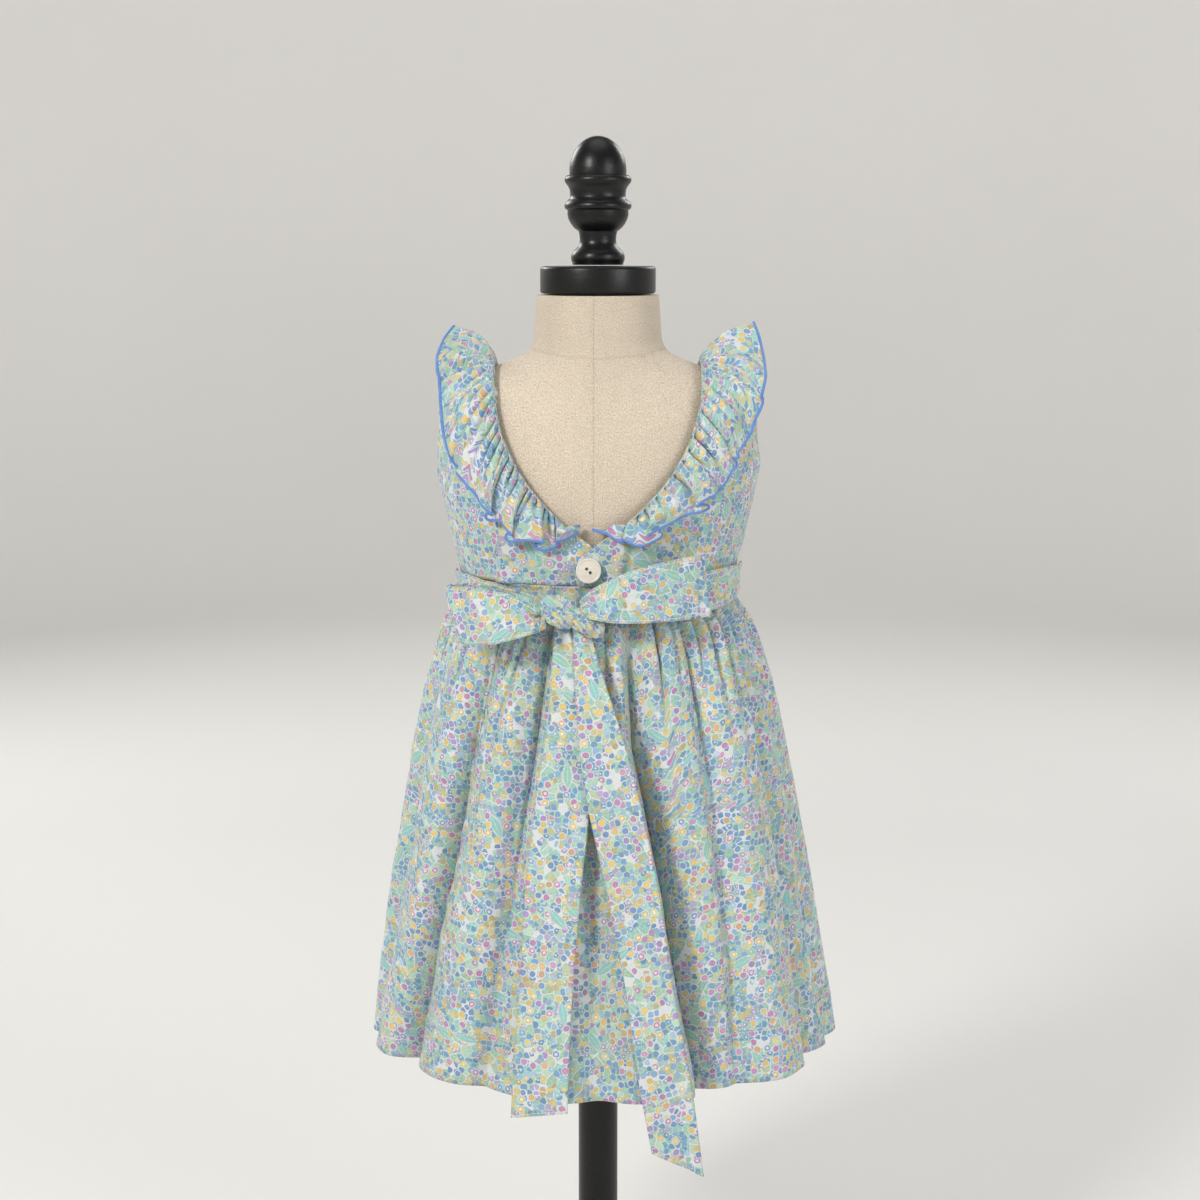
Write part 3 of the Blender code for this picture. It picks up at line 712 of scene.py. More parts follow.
# %% Black paint
black_paint, tree, shader = new_finish(
    "satin_black_paint", 0.34, Specular_IOR_Level=0.30, Coat_Weight=0.08, Coat_Roughness=0.25
)
seat = object_place(tree)
edge = wear_and_shade_from_pointiness(tree, 0.52, 0.60)
specks = noise(tree, seat, 0.0022, 4.0, 0.7)
rubbed = times(tree, edge, between(tree, specks, 0.45, 0.62))
dust = between(tree, noise(tree, seat, 0.0009, 4.0, 0.75), 0.60, 0.78)
colour = mixed(tree, noise(tree, seat, 0.020), ink("070708"), ink("0f0f10"))
colour = mixed(tree, times(tree, rubbed, 0.45), colour, ink("4a443e"))
colour = mixed(tree, times(tree, dust, 0.10), colour, ink("8f8f8c"))
feed(tree, colour, shader.inputs["Base Color"])
brushed = streaks(tree, seat, (60.0, 60.0, 1400.0))
feed(tree, plus(tree, times(tree, specks, 0.22), 0.24), shader.inputs["Roughness"])
raised(tree, shader, plus(tree, brushed, specks), 0.00009)
print("paint:", black_paint.name)

# %% Button
button_white, tree, shader = new_finish(
    "button_shell_white", 0.36, Specular_IOR_Level=0.5, Coat_Weight=0.2, Coat_Roughness=0.25
)
seat = object_place(tree)
clouds = streaks(tree, seat, (90.0, 90.0, 420.0), 4.0)
colour = mixed(tree, clouds, ink("dcd2c2"), ink("efe8db"))
# painted shade: the hollows of the dish and the holes, found by low pointiness, are darkened
edge = wear_and_shade_from_pointiness(tree, 0.44, 0.49, 1.0, 0.0)
colour = mixed(tree, times(tree, edge, 0.35), colour, ink("a3927a"))
feed(tree, colour, shader.inputs["Base Color"])
feed(tree, plus(tree, times(tree, clouds, 0.16), 0.28), shader.inputs["Roughness"])
raised(tree, shader, clouds, 0.00005)
print("button finish:", button_white.name)

# %% [markdown]
# ## The skirt
# The skirt is two wide panels gathered into the waist. The gathers run out in a hand's
# breadth, and below them the cloth hangs in a few long folds that widen to the hem. Each fold
# is a valley in the sections, steeper on one side than on the other, and a pinch draws its
# lips together, as heavy gathers do. The deepest one is a slit that runs down beside the
# right tail. No fold may reach the form inside, and the folds' unevenness dies out at the
# side seams, where the two panels meet. The bottom 38 mm is turned up as a hem.

# %% Skirt folds
WAIST, HEM = 0.6237, 0.2620
HEM_FOLD, HEM_STITCH = 0.0385, 0.0372
SEAM_ANGLE = 0.003
LEAN, SIDE_LIFT = 0.0035, 0.011
FORM_FOOT = 0.462
PINCH = 1.10
SLIT_DEPTH = 0.034
# Angle at the waist and at the hem in degrees, depth at the hem, width to the left and to the
# right in degrees, how far the lips close, and how late it grows on the way down.
LONG_FOLDS = [
    (-39, -60, 0.030, 2.4, 11.0, 0.9, 0.35), (-66, -82, 0.014, 3.5, 7.0, 0.5, 0.7),
    (-19, -31, 0.018, 5.0, 14.0, 0.3, 0.5), (-2, -1, 0.016, 5.0, 6.0, 0.1, 0.6),
    (31, 37, 0.012, 2.5, 6.0, 0.5, 0.35), (46, 46, -0.007, 6.0, 6.0, 0.0, 0.85),
    (61.0, 60, 0.030, 2.4, 10.0, 0.9, 0.35),
    (76, 80, 0.010, 4.0, 5.0, 0.4, 0.6), (94, 98, 0.013, 4.0, 7.0, 0.6, 0.6),
    (115, 120, 0.018, 4.0, 9.0, 0.7, 0.5), (137, 141, 0.016, 9.0, 4.0, 0.6, 0.6),
    (158, 160, 0.018, 4.0, 8.0, 0.7, 0.5), (181, 182, 0.020, 8.0, 4.0, 0.7, 0.5),
    (205, 203, 0.016, 4.0, 8.0, 0.6, 0.6), (228, 226, 0.019, 9.0, 4.0, 0.7, 0.5),
    (250, 247, 0.014, 4.0, 7.0, 0.5, 0.6), (268, 266, 0.010, 5.0, 5.0, 0.3, 0.7),
]
# The deep slit beside the right tail follows the tail's edge: how far down, and the angle.
SLIT_DOWN = (0.0, 0.064, 0.114, 0.152, 0.216, 0.274, 0.350)
SLIT_ANGLE = (11.3, 10.8, 11.0, 14.0, 18.0, 20.4, 24.0)
# Angle, slant in degrees over 0.1 m, depth, width in degrees, length, how far the lips close,
# and how much wider the left side is than the right one.
WAIST_FOLDS = [
    (-53.0, -5, 0.0080, 1.4, 0.070, 0.7, -0.3), (-47.5, -4, 0.0075, 1.4, 0.060, 0.6, 0.0),
    (-37.8, -6, 0.0130, 1.5, 0.120, 0.9, -0.4), (-30.0, -5, 0.0080, 1.4, 0.070, 0.5, -0.2),
    (-24.5, -9, 0.0130, 1.6, 0.090, 0.9, -0.4), (-16.6, -4, 0.0180, 2.0, 0.150, 0.9, -0.4),
    (-6.0, 0, 0.0060, 1.8, 0.060, 0.3, 0.0), (2.5, 0, 0.0060, 1.6, 0.060, 0.5, 0.0),
    (21.6, 0, 0.0130, 1.3, 0.070, 0.8, 0.0), (28.4, 0, 0.0120, 1.3, 0.055, 0.8, -0.2),
    (33.4, 2, 0.0180, 1.6, 0.095, 0.9, -0.3), (40.0, -1, 0.0090, 1.3, 0.065, 0.6, -0.2),
    (45.5, 0, 0.0130, 1.4, 0.065, 0.8, 0.0), (52.0, 0, 0.0130, 1.4, 0.075, 0.8, -0.2),
    (59.5, 0, 0.0160, 1.8, 0.120, 0.8, -0.5), (66.0, 0, 0.0100, 1.4, 0.070, 0.6, 0.0),
]
dice = np.random.default_rng(7)
for spot in [*range(-86, -56, 5), *range(72, 270, 5)]:
    WAIST_FOLDS.append((
        spot + dice.uniform(-1.4, 1.4), dice.uniform(-3, 3), dice.uniform(0.0050, 0.0110),
        dice.uniform(1.2, 1.8), dice.uniform(0.040, 0.090), dice.uniform(0.3, 0.8),
        dice.uniform(-0.5, 0.5),
    ))


def room_inside(z):
    """How far the skirt may fold inwards before it meets the form."""
    inside = half_sizes(FORM, np.maximum(z, FORM[-1][0]))
    gaps = [outer - inner for outer, inner in zip(half_sizes(SKIRT, z), inside)]
    return np.where(z > FORM_FOOT, np.minimum(*gaps), 0.060) - 0.0022


def skirt_point(angle, z):
    """The gathered skirt: its sections less their folds, with each fold's lips drawn in."""
    angle, z = np.broadcast_arrays(angle, z)
    down = np.maximum(WAIST - z, 0.0)
    share = down / (WAIST - HEM)
    grown = share**0.85
    degrees = np.degrees(angle)
    inset, drawn = np.zeros(degrees.shape), np.zeros(degrees.shape)
    for top, low, depth, left, right, pinch, pace in LONG_FOLDS:
        apart = (degrees - (top + (low - top) * grown) + 180) % 360 - 180
        valley = np.exp(-((apart / np.where(apart < 0, left, right)) ** 2)) * share**pace
        inset += depth * valley
        drawn -= PINCH * pinch * apart * valley
    apart = degrees - np.interp(down, SLIT_DOWN, SLIT_ANGLE)
    wide = np.where(apart < 0, 1.9, 3.0 + 5.5 * share)
    valley = np.exp(-((apart / wide) ** 2)) * ease(down / 0.008)
    inset += SLIT_DEPTH * valley
    drawn -= PINCH * apart * valley
    for spot, slant, depth, wide, length, pinch, skew in WAIST_FOLDS:
        apart = (degrees - spot - slant * down / 0.1 + 180) % 360 - 180
        fade = np.exp(-((down / length) ** 2)) * ease(down / 0.006)
        valley = np.exp(-((apart / (wide * np.where(apart < 0, 1 + skew, 1 - skew))) ** 2)) * fade
        inset += depth * valley
        drawn -= PINCH * pinch * apart * valley
    room = room_inside(z)
    inset = np.where(inset > 0, room * np.tanh(np.maximum(inset, 0) / room), inset)
    arc = degrees * 0.0021
    at_seam = np.minimum(np.abs(np.cos(angle)) / 0.15, 1.0)
    soft, fine = crumple(arc, z, 0.060, 11), crumple(arc, z, 0.016, 12)
    inset += at_seam * (0.0011 * grown * soft + 0.0004 * fine)
    point = on_levels(SKIRT, angle + np.radians(drawn), z, -inset)
    point[..., 0] += LEAN * grown
    point[..., 2] += SIDE_LIFT * grown * np.sin(angle) ** 2
    return point


def skirt_panel(name, start, end, columns, rows, shift):
    angles = np.radians(np.linspace(start, end, columns))
    angles[0] += SEAM_ANGLE
    angles[-1] -= SEAM_ANGLE
    v = np.linspace(0, 1, rows)
    z = HEM + (WAIST - HEM) * (1 - (1 - v) ** 1.25)
    grid = skirt_point(angles[None, :], z[:, None])
    turned_up = ease((HEM + HEM_FOLD - z) / 0.0010)[:, None]
    wall = CLOTH + (FOLDED - CLOTH) * turned_up
    return printed(cloth(name, grid, wall, shift=shift, stitch=lambda u, v: (u, v - HEM_STITCH)))


skirt_back = skirt_panel("skirt_back_cloth", -90, 90, 481, 96, (0.0, 0.0))
skirt_front = skirt_panel("skirt_front_cloth", 90, 270, 381, 80, (0.9, 0.4))
belong(skirt_back, "print_cotton", "skirt_back")
belong(skirt_front, "print_cotton", "skirt_front")

# %% [markdown]
# ## The bodice
# Three panels: a front with a scooped neck and two backs whose inner edges make the V. The
# right back laps over the left at the foot of the V, where the button holds them. The cloth
# is fitted, so it needs only slight pulls towards the button and the waist. The front is
# made as two mirrored halves in one grid, so the squares that would bridge its neck opening
# are left out.

# %% Bodice panels
V_FOOT, V_SHIFT, OVERLAP = 0.6525, 0.004, 0.010
UNDERARM, SHOULDER_TIP, SHOULDER_NECK, FRONT_NECK = 0.700, 0.764, 0.7805, 0.735
NECK_HALF_WIDTH = 0.0745
LAP_LIFT = 0.0023
NECK_GAP = 0.020
PRINT_RADIUS = 0.098
LINED = FOLDED * 0.7


def back_edge(side, z):
    """How far a back panel's inner edge is from the middle, towards its own side."""
    foot = -side * V_SHIFT
    down = np.clip((SHOULDER_NECK - z) / (SHOULDER_NECK - V_FOOT), 0.0, 1.0)
    slope = foot + (NECK_HALF_WIDTH - foot) * (1 - down**2.5)
    lap = foot - OVERLAP * ease((V_FOOT - z) / OVERLAP)
    return np.where(z <= V_FOOT, lap, slope)


def front_edge(z):
    down = np.clip((SHOULDER_NECK - z) / (SHOULDER_NECK - FRONT_NECK), 0.0, 1.0)
    return NECK_HALF_WIDTH * (1 - down**2.2) ** (1 / 2.2)


def edge_angle(x, z):
    return np.arcsin(np.minimum(x / half_sizes(BODICE, z)[0], 1.0))


def lap_lift(x):
    return LAP_LIFT * (1 - ease((x - 0.028) / 0.030))


def panel_grid(inner_edge, armhole_depth, rows, columns):
    """Angles and heights from the inner edge to the side seam and the armhole."""
    v = 1 - (1 - np.linspace(0, 1, rows)) ** 1.5
    low = WAIST + 0.0006
    z_in, z_out = low + v * (SHOULDER_NECK - low), low + v * (SHOULDER_TIP - low)
    high = np.clip((z_out - UNDERARM) / (SHOULDER_TIP - UNDERARM), 0.0, 1.0)
    last = math.pi / 2 - SEAM_ANGLE
    outer = last - math.radians(armhole_depth) * np.sin(math.pi * high)
    inner = np.minimum(edge_angle(inner_edge(z_in), z_in), last)
    u = np.linspace(0, 1, columns)
    return inner[:, None] + u * (outer - inner)[:, None], z_in[:, None] + u * (z_out - z_in)[:, None]


def pulls(x, z, seed):
    """Shallow creases: general unevenness and soft gathers into the waist seam."""
    low = np.exp(-(((z - WAIST) / 0.030) ** 2))
    return 0.0005 * crumple(x, z, 0.022, seed) + 0.0007 * low * crumple(x, z * 0.15, 0.011, seed + 1)


def back_panel(name, side, shift):
    angle, z = panel_grid(lambda z: back_edge(side, z), 9, 84, 72)
    x = half_sizes(BODICE, z)[0] * np.sin(angle)
    out = pulls(side * x, z, 21)
    if side > 0:
        out = out + lap_lift(x)
        tuck = (x - 0.0215 - 0.22 * (z - 0.645)) / 0.0022
        out -= 0.0022 * np.exp(-(tuck**2)) * ease((0.668 - z) / 0.014)
        out += 0.0012 * np.exp(-((tuck + 1.8) ** 2)) * ease((0.668 - z) / 0.014)
    grid = on_levels(BODICE, angle, z, out) * (side, 1, 1)
    if side < 0:
        grid, angle, z = grid[:, ::-1], -angle[:, ::-1], z[:, ::-1]

    def beside_edge(u, v):
        inner = u.min(1, keepdims=True) if side > 0 else u.max(1, keepdims=True)
        return v, np.abs(u - inner) - 0.004

    lay = (angle * PRINT_RADIUS, z)
    return printed(cloth(name, grid, LINED, shift=shift, stitch=beside_edge, lay=lay))


def front_panel(name, shift):
    angle, z = panel_grid(front_edge, 20, 84, 60)
    half = on_levels(BODICE, angle, z, pulls(half_sizes(BODICE, z)[0] * np.sin(angle), z, 31))
    right = half * (1, -1, 1)
    grid = np.concatenate([right[:, ::-1], (right * (-1, 1, 1))[:, 1:]], axis=1)
    turned = np.concatenate([-angle[:, ::-1], angle[:, 1:]], axis=1) * PRINT_RADIUS
    high = np.concatenate([z[:, ::-1], z[:, 1:]], axis=1)
    middle = angle.shape[1] - 1
    hole = np.zeros((grid.shape[0] - 1, grid.shape[1] - 1), bool)
    hole[:, middle] = grid[1:, middle, 0] - grid[1:, middle + 1, 0] > NECK_GAP
    return printed(cloth(name, grid, LINED, shift=shift, lay=(turned, high), hole=hole))


bodice_left = back_panel("bodice_back_left_cloth", -1, (0.3, 0.7))
bodice_right = back_panel("bodice_back_right_cloth", 1, (0.6, 0.2))
bodice_front = front_panel("bodice_front_cloth", (0.1, 1.3))
belong(bodice_left, "print_cotton", "bodice_back_left")
belong(bodice_right, "print_cotton", "bodice_back_right")
belong(bodice_front, "print_cotton", "bodice_front")

# %% [markdown]
# ## The ruffle
# Two gathered strips start at the foot of the V, run up over the shoulders, where they stand
# like small wings, and meet at the middle of the front. One edge is gathered into the
# neckline. The free edge is longer than its seam, so it doubles back on itself in places:
# there the cloth runs on, turns under and runs on again. Listed points give the free edge, and
# each doubling is a short step backwards along it with the upper layer raised.

# %% Ruffle shape
# Share of the way (0 foot of the V, 1 shoulder, 2 middle front), outwards, back or front, up.
LEFT_EDGE = [
    (0.00, 0.0138, -0.0808, 0.6629), (0.09, 0.0284, -0.0818, 0.6573), (0.15, 0.0381, -0.0811, 0.6565),
    (0.24, 0.0561, -0.0750, 0.6605), (0.30, 0.0636, -0.0715, 0.6664), (0.37, 0.0693, -0.0700, 0.6728),
    (0.46, 0.0792, -0.0668, 0.6807), (0.55, 0.0858, -0.0630, 0.6893), (0.63, 0.0944, -0.0570, 0.6990),
    (0.70, 0.1021, -0.0520, 0.7090), (0.76, 0.1082, -0.0490, 0.7232), (0.83, 0.1117, -0.0470, 0.7426),
    (0.90, 0.1120, -0.0410, 0.7648), (0.95, 0.1149, -0.0280, 0.7786), (0.98, 0.1130, -0.0130, 0.7911),
    (1.00, 0.1068, 0.0000, 0.8022),
]
RIGHT_EDGE = [
    (0.00, -0.0041, -0.0815, 0.6655), (0.06, 0.0121, -0.0842, 0.6609), (0.115, 0.0266, -0.0837, 0.6568),
    (0.165, 0.0380, -0.0805, 0.6644), (0.26, 0.0592, -0.0740, 0.6743), (0.345, 0.0698, -0.0710, 0.6829),
    (0.44, 0.0840, -0.0650, 0.6902), (0.55, 0.0941, -0.0580, 0.7049), (0.63, 0.0931, -0.0565, 0.7141),
    (0.70, 0.0992, -0.0535, 0.7209), (0.78, 0.1097, -0.0510, 0.7330), (0.86, 0.1150, -0.0480, 0.7547),
    (0.91, 0.1192, -0.0380, 0.7677), (0.95, 0.1198, -0.0260, 0.7769), (0.98, 0.1178, -0.0120, 0.7943),
    (1.00, 0.1148, 0.0000, 0.8055),
]
FRONT_EDGE = [
    (1.10, 0.1165, 0.0180, 0.7860), (1.27, 0.1140, 0.0370, 0.7580), (1.45, 0.0960, 0.0590, 0.7220),
    (1.65, 0.0640, 0.0760, 0.7000), (1.82, 0.0330, 0.0850, 0.6930), (2.00, 0.0003, 0.0870, 0.6915),
]
# Share, half width, step backwards, height, outward peek of the layer below, upper layer on top.
LEFT_DOUBLINGS = [
    (0.095, 0.026, 0.016, 0.0050, 0.0026, False), (0.165, 0.028, 0.030, 0.0085, 0.0043, True),
    (0.270, 0.030, 0.033, 0.0106, 0.0068, True), (0.420, 0.034, 0.040, 0.0106, 0.0068, True),
    (0.620, 0.034, 0.050, 0.0094, -0.0085, False), (0.905, 0.030, 0.016, 0.0100, 0.0017, True),
]
RIGHT_DOUBLINGS = [
    (0.085, 0.026, 0.016, 0.0050, 0.0026, True), (0.165, 0.030, 0.034, 0.0100, 0.0068, True),
    (0.345, 0.036, 0.043, 0.0119, 0.0076, True), (0.630, 0.038, 0.046, 0.0125, 0.0085, True),
    (0.865, 0.028, 0.018, 0.0075, 0.0034, True),
]
FRONT_DOUBLINGS = [
    (1.16, 0.040, 0.048, 0.0070, 0.0025, True), (1.36, 0.045, 0.056, 0.0080, 0.0030, False),
    (1.56, 0.045, 0.060, 0.0080, 0.0030, False), (1.76, 0.045, 0.060, 0.0080, 0.0030, False),
]
# Share, reach across the ruffle, depth and width of the short pleats that leave the seam.
LEFT_PLEATS = [
    (0.05, 0.4, 1.7, 1.6), (0.13, 0.6, 2.6, 1.6), (0.205, 0.5, 2.4, 1.4), (0.235, 0.4, 2.4, 1.3),
    (0.325, 0.5, 2.4, 1.5), (0.365, 0.4, 2.4, 1.4), (0.455, 0.4, 2.2, 1.4), (0.495, 0.45, 2.6, 1.5),
    (0.535, 0.4, 3.0, 1.4), (0.575, 0.5, 3.3, 1.5), (0.665, 0.5, 3.3, 1.5), (0.71, 0.55, 3.6, 1.6),
    (0.755, 0.35, 2.7, 1.4), (0.79, 0.3, 2.7, 1.3), (0.83, 0.45, 3.0, 1.5), (0.875, 0.7, 3.3, 1.6),
    (0.955, 0.5, 3.6, 1.6),
]
RIGHT_PLEATS = [
    (0.04, 0.4, 1.7, 1.5), (0.12, 0.5, 2.4, 1.5), (0.22, 0.5, 2.2, 1.4), (0.27, 0.35, 2.2, 1.3),
    (0.4, 0.4, 2.2, 1.4), (0.45, 0.5, 2.4, 1.5), (0.51, 0.6, 3.0, 1.6), (0.56, 0.35, 2.4, 1.3),
    (0.69, 0.4, 2.7, 1.5), (0.74, 0.3, 2.4, 1.3), (0.79, 0.3, 2.4, 1.3), (0.835, 0.45, 3.0, 1.5),
    (0.9, 0.5, 2.7, 1.6), (0.95, 0.4, 2.7, 1.5),
]
FRONT_PLEATS = [(1.03 + 0.045 * k, 0.35 + 0.25 * math.sin(5 * k) ** 2, 2.0, 1.5) for k in range(21)]


RUFFLE_SEAT, RUFFLE_ARCH, PLEAT, DOUBLED_PLEAT = 0.0021, 0.0048, 0.0026, 0.0060


def neckline(side):
    """Angles and heights of half a neckline, from the foot of the V to the middle front."""
    t = np.linspace(0, 1, 121)
    z_back = SHOULDER_NECK - (SHOULDER_NECK - V_FOOT - 0.010) * (1 - t) ** 2
    t = t[1:]
    z_front = SHOULDER_NECK - (SHOULDER_NECK - FRONT_NECK) * (1 - (1 - t) ** 2) ** 1.6
    back = edge_angle(back_edge(side, z_back), z_back)
    front = math.pi - edge_angle(front_edge(z_front), z_front)
    return np.concatenate([back, front]), np.concatenate([z_back, z_front])


def ruffle(name, side, edge, doublings, pleats, strips=30):
    angle, z = neckline(side)
    spots = on_levels(BODICE, angle, z)
    run = np.concatenate([[0.0], np.cumsum(np.linalg.norm(np.diff(spots, axis=0), axis=1))])
    share = np.concatenate([np.linspace(0, 1, 400), np.linspace(1, 2, 220)[1:]])
    at = np.where(share < 1, share * run[120], run[120] + (share - 1) * (run[-1] - run[120]))
    angle, z = np.interp(at, run, angle), np.interp(at, run, z)
    seat = RUFFLE_SEAT + (lap_lift(half_sizes(BODICE, z)[0] * np.sin(angle)) if side > 0 else 0.0)
    seam = on_levels(BODICE, angle, z, seat)
    table = np.array(edge + FRONT_EDGE)
    step, height, peek = np.zeros(len(share)), np.zeros(len(share)), np.zeros(len(share))
    w = np.linspace(0, 1, strips)[:, None]
    pleated = np.zeros((strips, len(share)))
    for centre, half, back, high, out, upper in doublings + FRONT_DOUBLINGS:
        u = (share - centre) / half
        way = 1 if upper else -1
        step -= 2.33 * back * u * np.exp(-(u**2))
        beyond = np.maximum(way * u, 0.0)
        height += high * 0.5 * (1 + np.tanh(2.2 * way * u)) * np.exp(-((beyond / 2.6) ** 2))
        peek += out * np.exp(-(((way * u + 0.9) / 0.75) ** 2))
        beside = (way * u + 0.35) / 0.28
        pleated += DOUBLED_PLEAT * np.exp(-(beside**2)) * ease(w / 0.06) * (1 - w) ** 0.4
    for spot, reach, deep, wide in pleats + FRONT_PLEATS:
        beside = (at - np.interp(spot, share, at)) / (0.001 * wide)
        pleated += PLEAT * deep * np.exp(-(beside**2)) * ease(w / 0.06) * np.exp(-((w / reach) ** 2))
    spot = np.clip(share + step, 0.0, 2.0)
    free = np.stack([curve_through(table[:, 0], table[:, k], spot) for k in (1, 2, 3)], -1)
    away = free - seam
    tangent = np.gradient(seam, axis=0)
    normal = np.cross(away, tangent)
    normal /= np.linalg.norm(normal, axis=1, keepdims=True)
    free += away / np.linalg.norm(away, axis=1, keepdims=True) * peek[:, None]
    soft = 0.0011 * crumple(at, 0 * at, 0.020, 40 + side) * ease(share / 0.05) * ease((2 - share) / 0.1)
    free += normal * (height + soft)[:, None]
    arch = RUFFLE_ARCH * 4 * w**0.8 * (1 - w) - pleated
    arch = arch + 0.0004 * crumple(at[None, :], 0.03 * w, 0.008, 50 + side)
    arch = arch + 0.5 * height * np.sin(math.pi * w) ** 2 * w
    grid = seam + (free - seam) * w[..., None] + normal * arch[..., None]
    grid = grid * (side, 1, 1)
    if side > 0:
        grid = grid[:, ::-1]
    plain = np.stack([curve_through(table[:, 0], table[:, k], share) for k in (1, 2, 3)], -1)
    middle = 0.4 * seam + 0.6 * plain
    along = np.concatenate([[0.0], np.cumsum(np.linalg.norm(np.diff(middle, axis=0), axis=1))])
    for centre, half, *_ in doublings + FRONT_DOUBLINGS:
        along = along + 0.008 * ease((share - centre + half) / (2 * half))
    along = along[::-1] if side > 0 else along
    piece = cloth(
        name, grid, shift=(0.4 + side * 0.2, 0.9), stitch=lambda u, v: (u, v - 0.0022),
        lay=(-side * along[None, :], lengths(grid, 0)),
    )
    return printed(piece), grid[-1]


def bound_edge(name, path, radius=0.00115, around=8):
    """A fine round edging along the free edge, with a cap at each end."""
    along = np.gradient(path, axis=0)
    along /= np.linalg.norm(along, axis=1, keepdims=True)
    first = np.cross(along, (0.0, 0.3, 1.0))
    first /= np.linalg.norm(first, axis=1, keepdims=True)
    second = np.cross(along, first)
    turn = np.linspace(0, 2 * math.pi, around, endpoint=False)
    rings = path[:, None] + radius * (
        first[:, None] * np.cos(turn)[None, :, None] + second[:, None] * np.sin(turn)[None, :, None]
    )
    count = len(path)
    index = np.arange(count * around).reshape(count, around)
    after = np.roll(index, -1, axis=1)
    faces = np.stack([index[:-1], after[:-1], after[1:], index[1:]], -1).reshape(-1, 4).tolist()
    faces += [index[0, ::-1].tolist(), index[-1].tolist()]
    mesh = bpy.data.meshes.new(name)
    mesh.from_pydata(rings.reshape(-1, 3).tolist(), [], faces)
    run = np.concatenate([[0.0], np.cumsum(np.linalg.norm(np.diff(path, axis=0), axis=1))])
    flat = np.stack(np.broadcast_arrays(run[:, None], turn * radius), -1).reshape(-1, 2)
    corner = np.concatenate([np.array(face) for face in faces])
    fill_uv(mesh, "Print", flat[corner])
    mesh.shade_smooth()
    mesh.materials.append(blue_thread)
    piece = bpy.data.objects.new(name, mesh)
    bpy.context.scene.collection.objects.link(piece)
    return piece


for side, word, edge, doublings, pleats in (
    (-1, "left", LEFT_EDGE, LEFT_DOUBLINGS, LEFT_PLEATS),
    (1, "right", RIGHT_EDGE, RIGHT_DOUBLINGS, RIGHT_PLEATS),
):
    frill, path = ruffle(f"ruffle_{word}_cloth", side, edge, doublings, pleats)
    binding = bound_edge(f"ruffle_{word}_edge", path)
    belong(frill, "print_cotton", f"ruffle_{word}")
    belong(binding, "blue_edge")

# %% [markdown]
# ## The sash
# A tie is a folded strip, 40 mm wide, sewn into each side seam. Both come round to the back,
# where they are tied in a bow a little left of the middle. On each tie the cloth is creased
# lengthways, because the bow bunches it up at the knot.

# %% Sash round the waist
def long_edges(u, v):
    """Stitches near both long edges of a strip."""
    tall = v[-1:, :]
    return u, np.minimum(v, tall - v) - 0.0020


def strip_cloth(name, grid, shift, turn=0.0, wall=FOLDED, lay=None):
    piece = cloth(name, grid, wall, turn=turn, shift=shift, stitch=long_edges, lay=lay)
    return printed(piece, print_cotton)


def sash_band(name, side, end_angle, seam_middle, knot_middle, shift):
    t = np.linspace(0, 1, 150)[None, :]
    v = np.linspace(0, 1, 28)[:, None]
    angle = np.radians(88.5 + (end_angle - 88.5) * t)
    centre = seam_middle + (knot_middle - seam_middle) * t
    height = 0.020 + 0.008 * ease(t / 0.4) - 0.010 * ease((t - 0.6) / 0.4)
    bunch = 0.3 + 0.7 * t
    out = 0.0009 * bunch * crumple(t * 0.05, v * 0.040, 0.014, 60 + side)
    out = out - 0.0008 * ease(1 - np.minimum(v, 1 - v) / 0.06)
    grid = on_levels(WRAP, angle, centre + height * (v - 0.5), out) * (side, 1, 1)
    if side < 0:
        grid = grid[:, ::-1]
    return strip_cloth(name, grid, shift)


sash_left = sash_band("sash_left_cloth", -1, 26, 0.6165, 0.6060, (0.2, 0.5))
sash_right = sash_band("sash_right_cloth", 1, -4, 0.6222, 0.6120, (0.8, 0.1))
belong(sash_left, "print_cotton", "sash_left")
belong(sash_right, "print_cotton", "sash_right")

# %% [markdown]
# ## The bow
# Each loop leaves the knot bunched, opens to the width of the tie, turns at its tip and comes
# back behind itself. The front layer of the left loop has slipped a little, so the back layer
# shows above it. Creases run out from the knot and fade.

# %% Bow loops
# Left and right x of a station's lower and upper edge, their depths, and their heights.
LEFT_LOOP = [
    (-0.0370, -0.0370, -0.1035, -0.1010, 0.5990, 0.6115),
    (-0.0440, -0.0440, -0.1085, -0.1050, 0.5965, 0.6133),
    (-0.0543, -0.0543, -0.1120, -0.1070, 0.5935, 0.6195),
    (-0.0690, -0.0690, -0.1120, -0.1065, 0.5896, 0.6245),
    (-0.0823, -0.0823, -0.1075, -0.1035, 0.5875, 0.6258),
    (-0.0925, -0.0945, -0.1010, -0.0975, 0.5868, 0.6262),
    (-0.0975, -0.1040, -0.0940, -0.0920, 0.5880, 0.6263),
    (-0.0990, -0.1066, -0.0880, -0.0870, 0.5895, 0.6266),
    (-0.0960, -0.1040, -0.0835, -0.0835, 0.5900, 0.6272),
    (-0.0850, -0.0900, -0.0845, -0.0845, 0.5905, 0.6275),
    (-0.0700, -0.0720, -0.0880, -0.0880, 0.5925, 0.6260),
    (-0.0560, -0.0560, -0.0910, -0.0910, 0.5965, 0.6230),
    (-0.0450, -0.0450, -0.0930, -0.0935, 0.6010, 0.6190),
    (-0.0370, -0.0370, -0.0940, -0.0950, 0.6040, 0.6150),
]
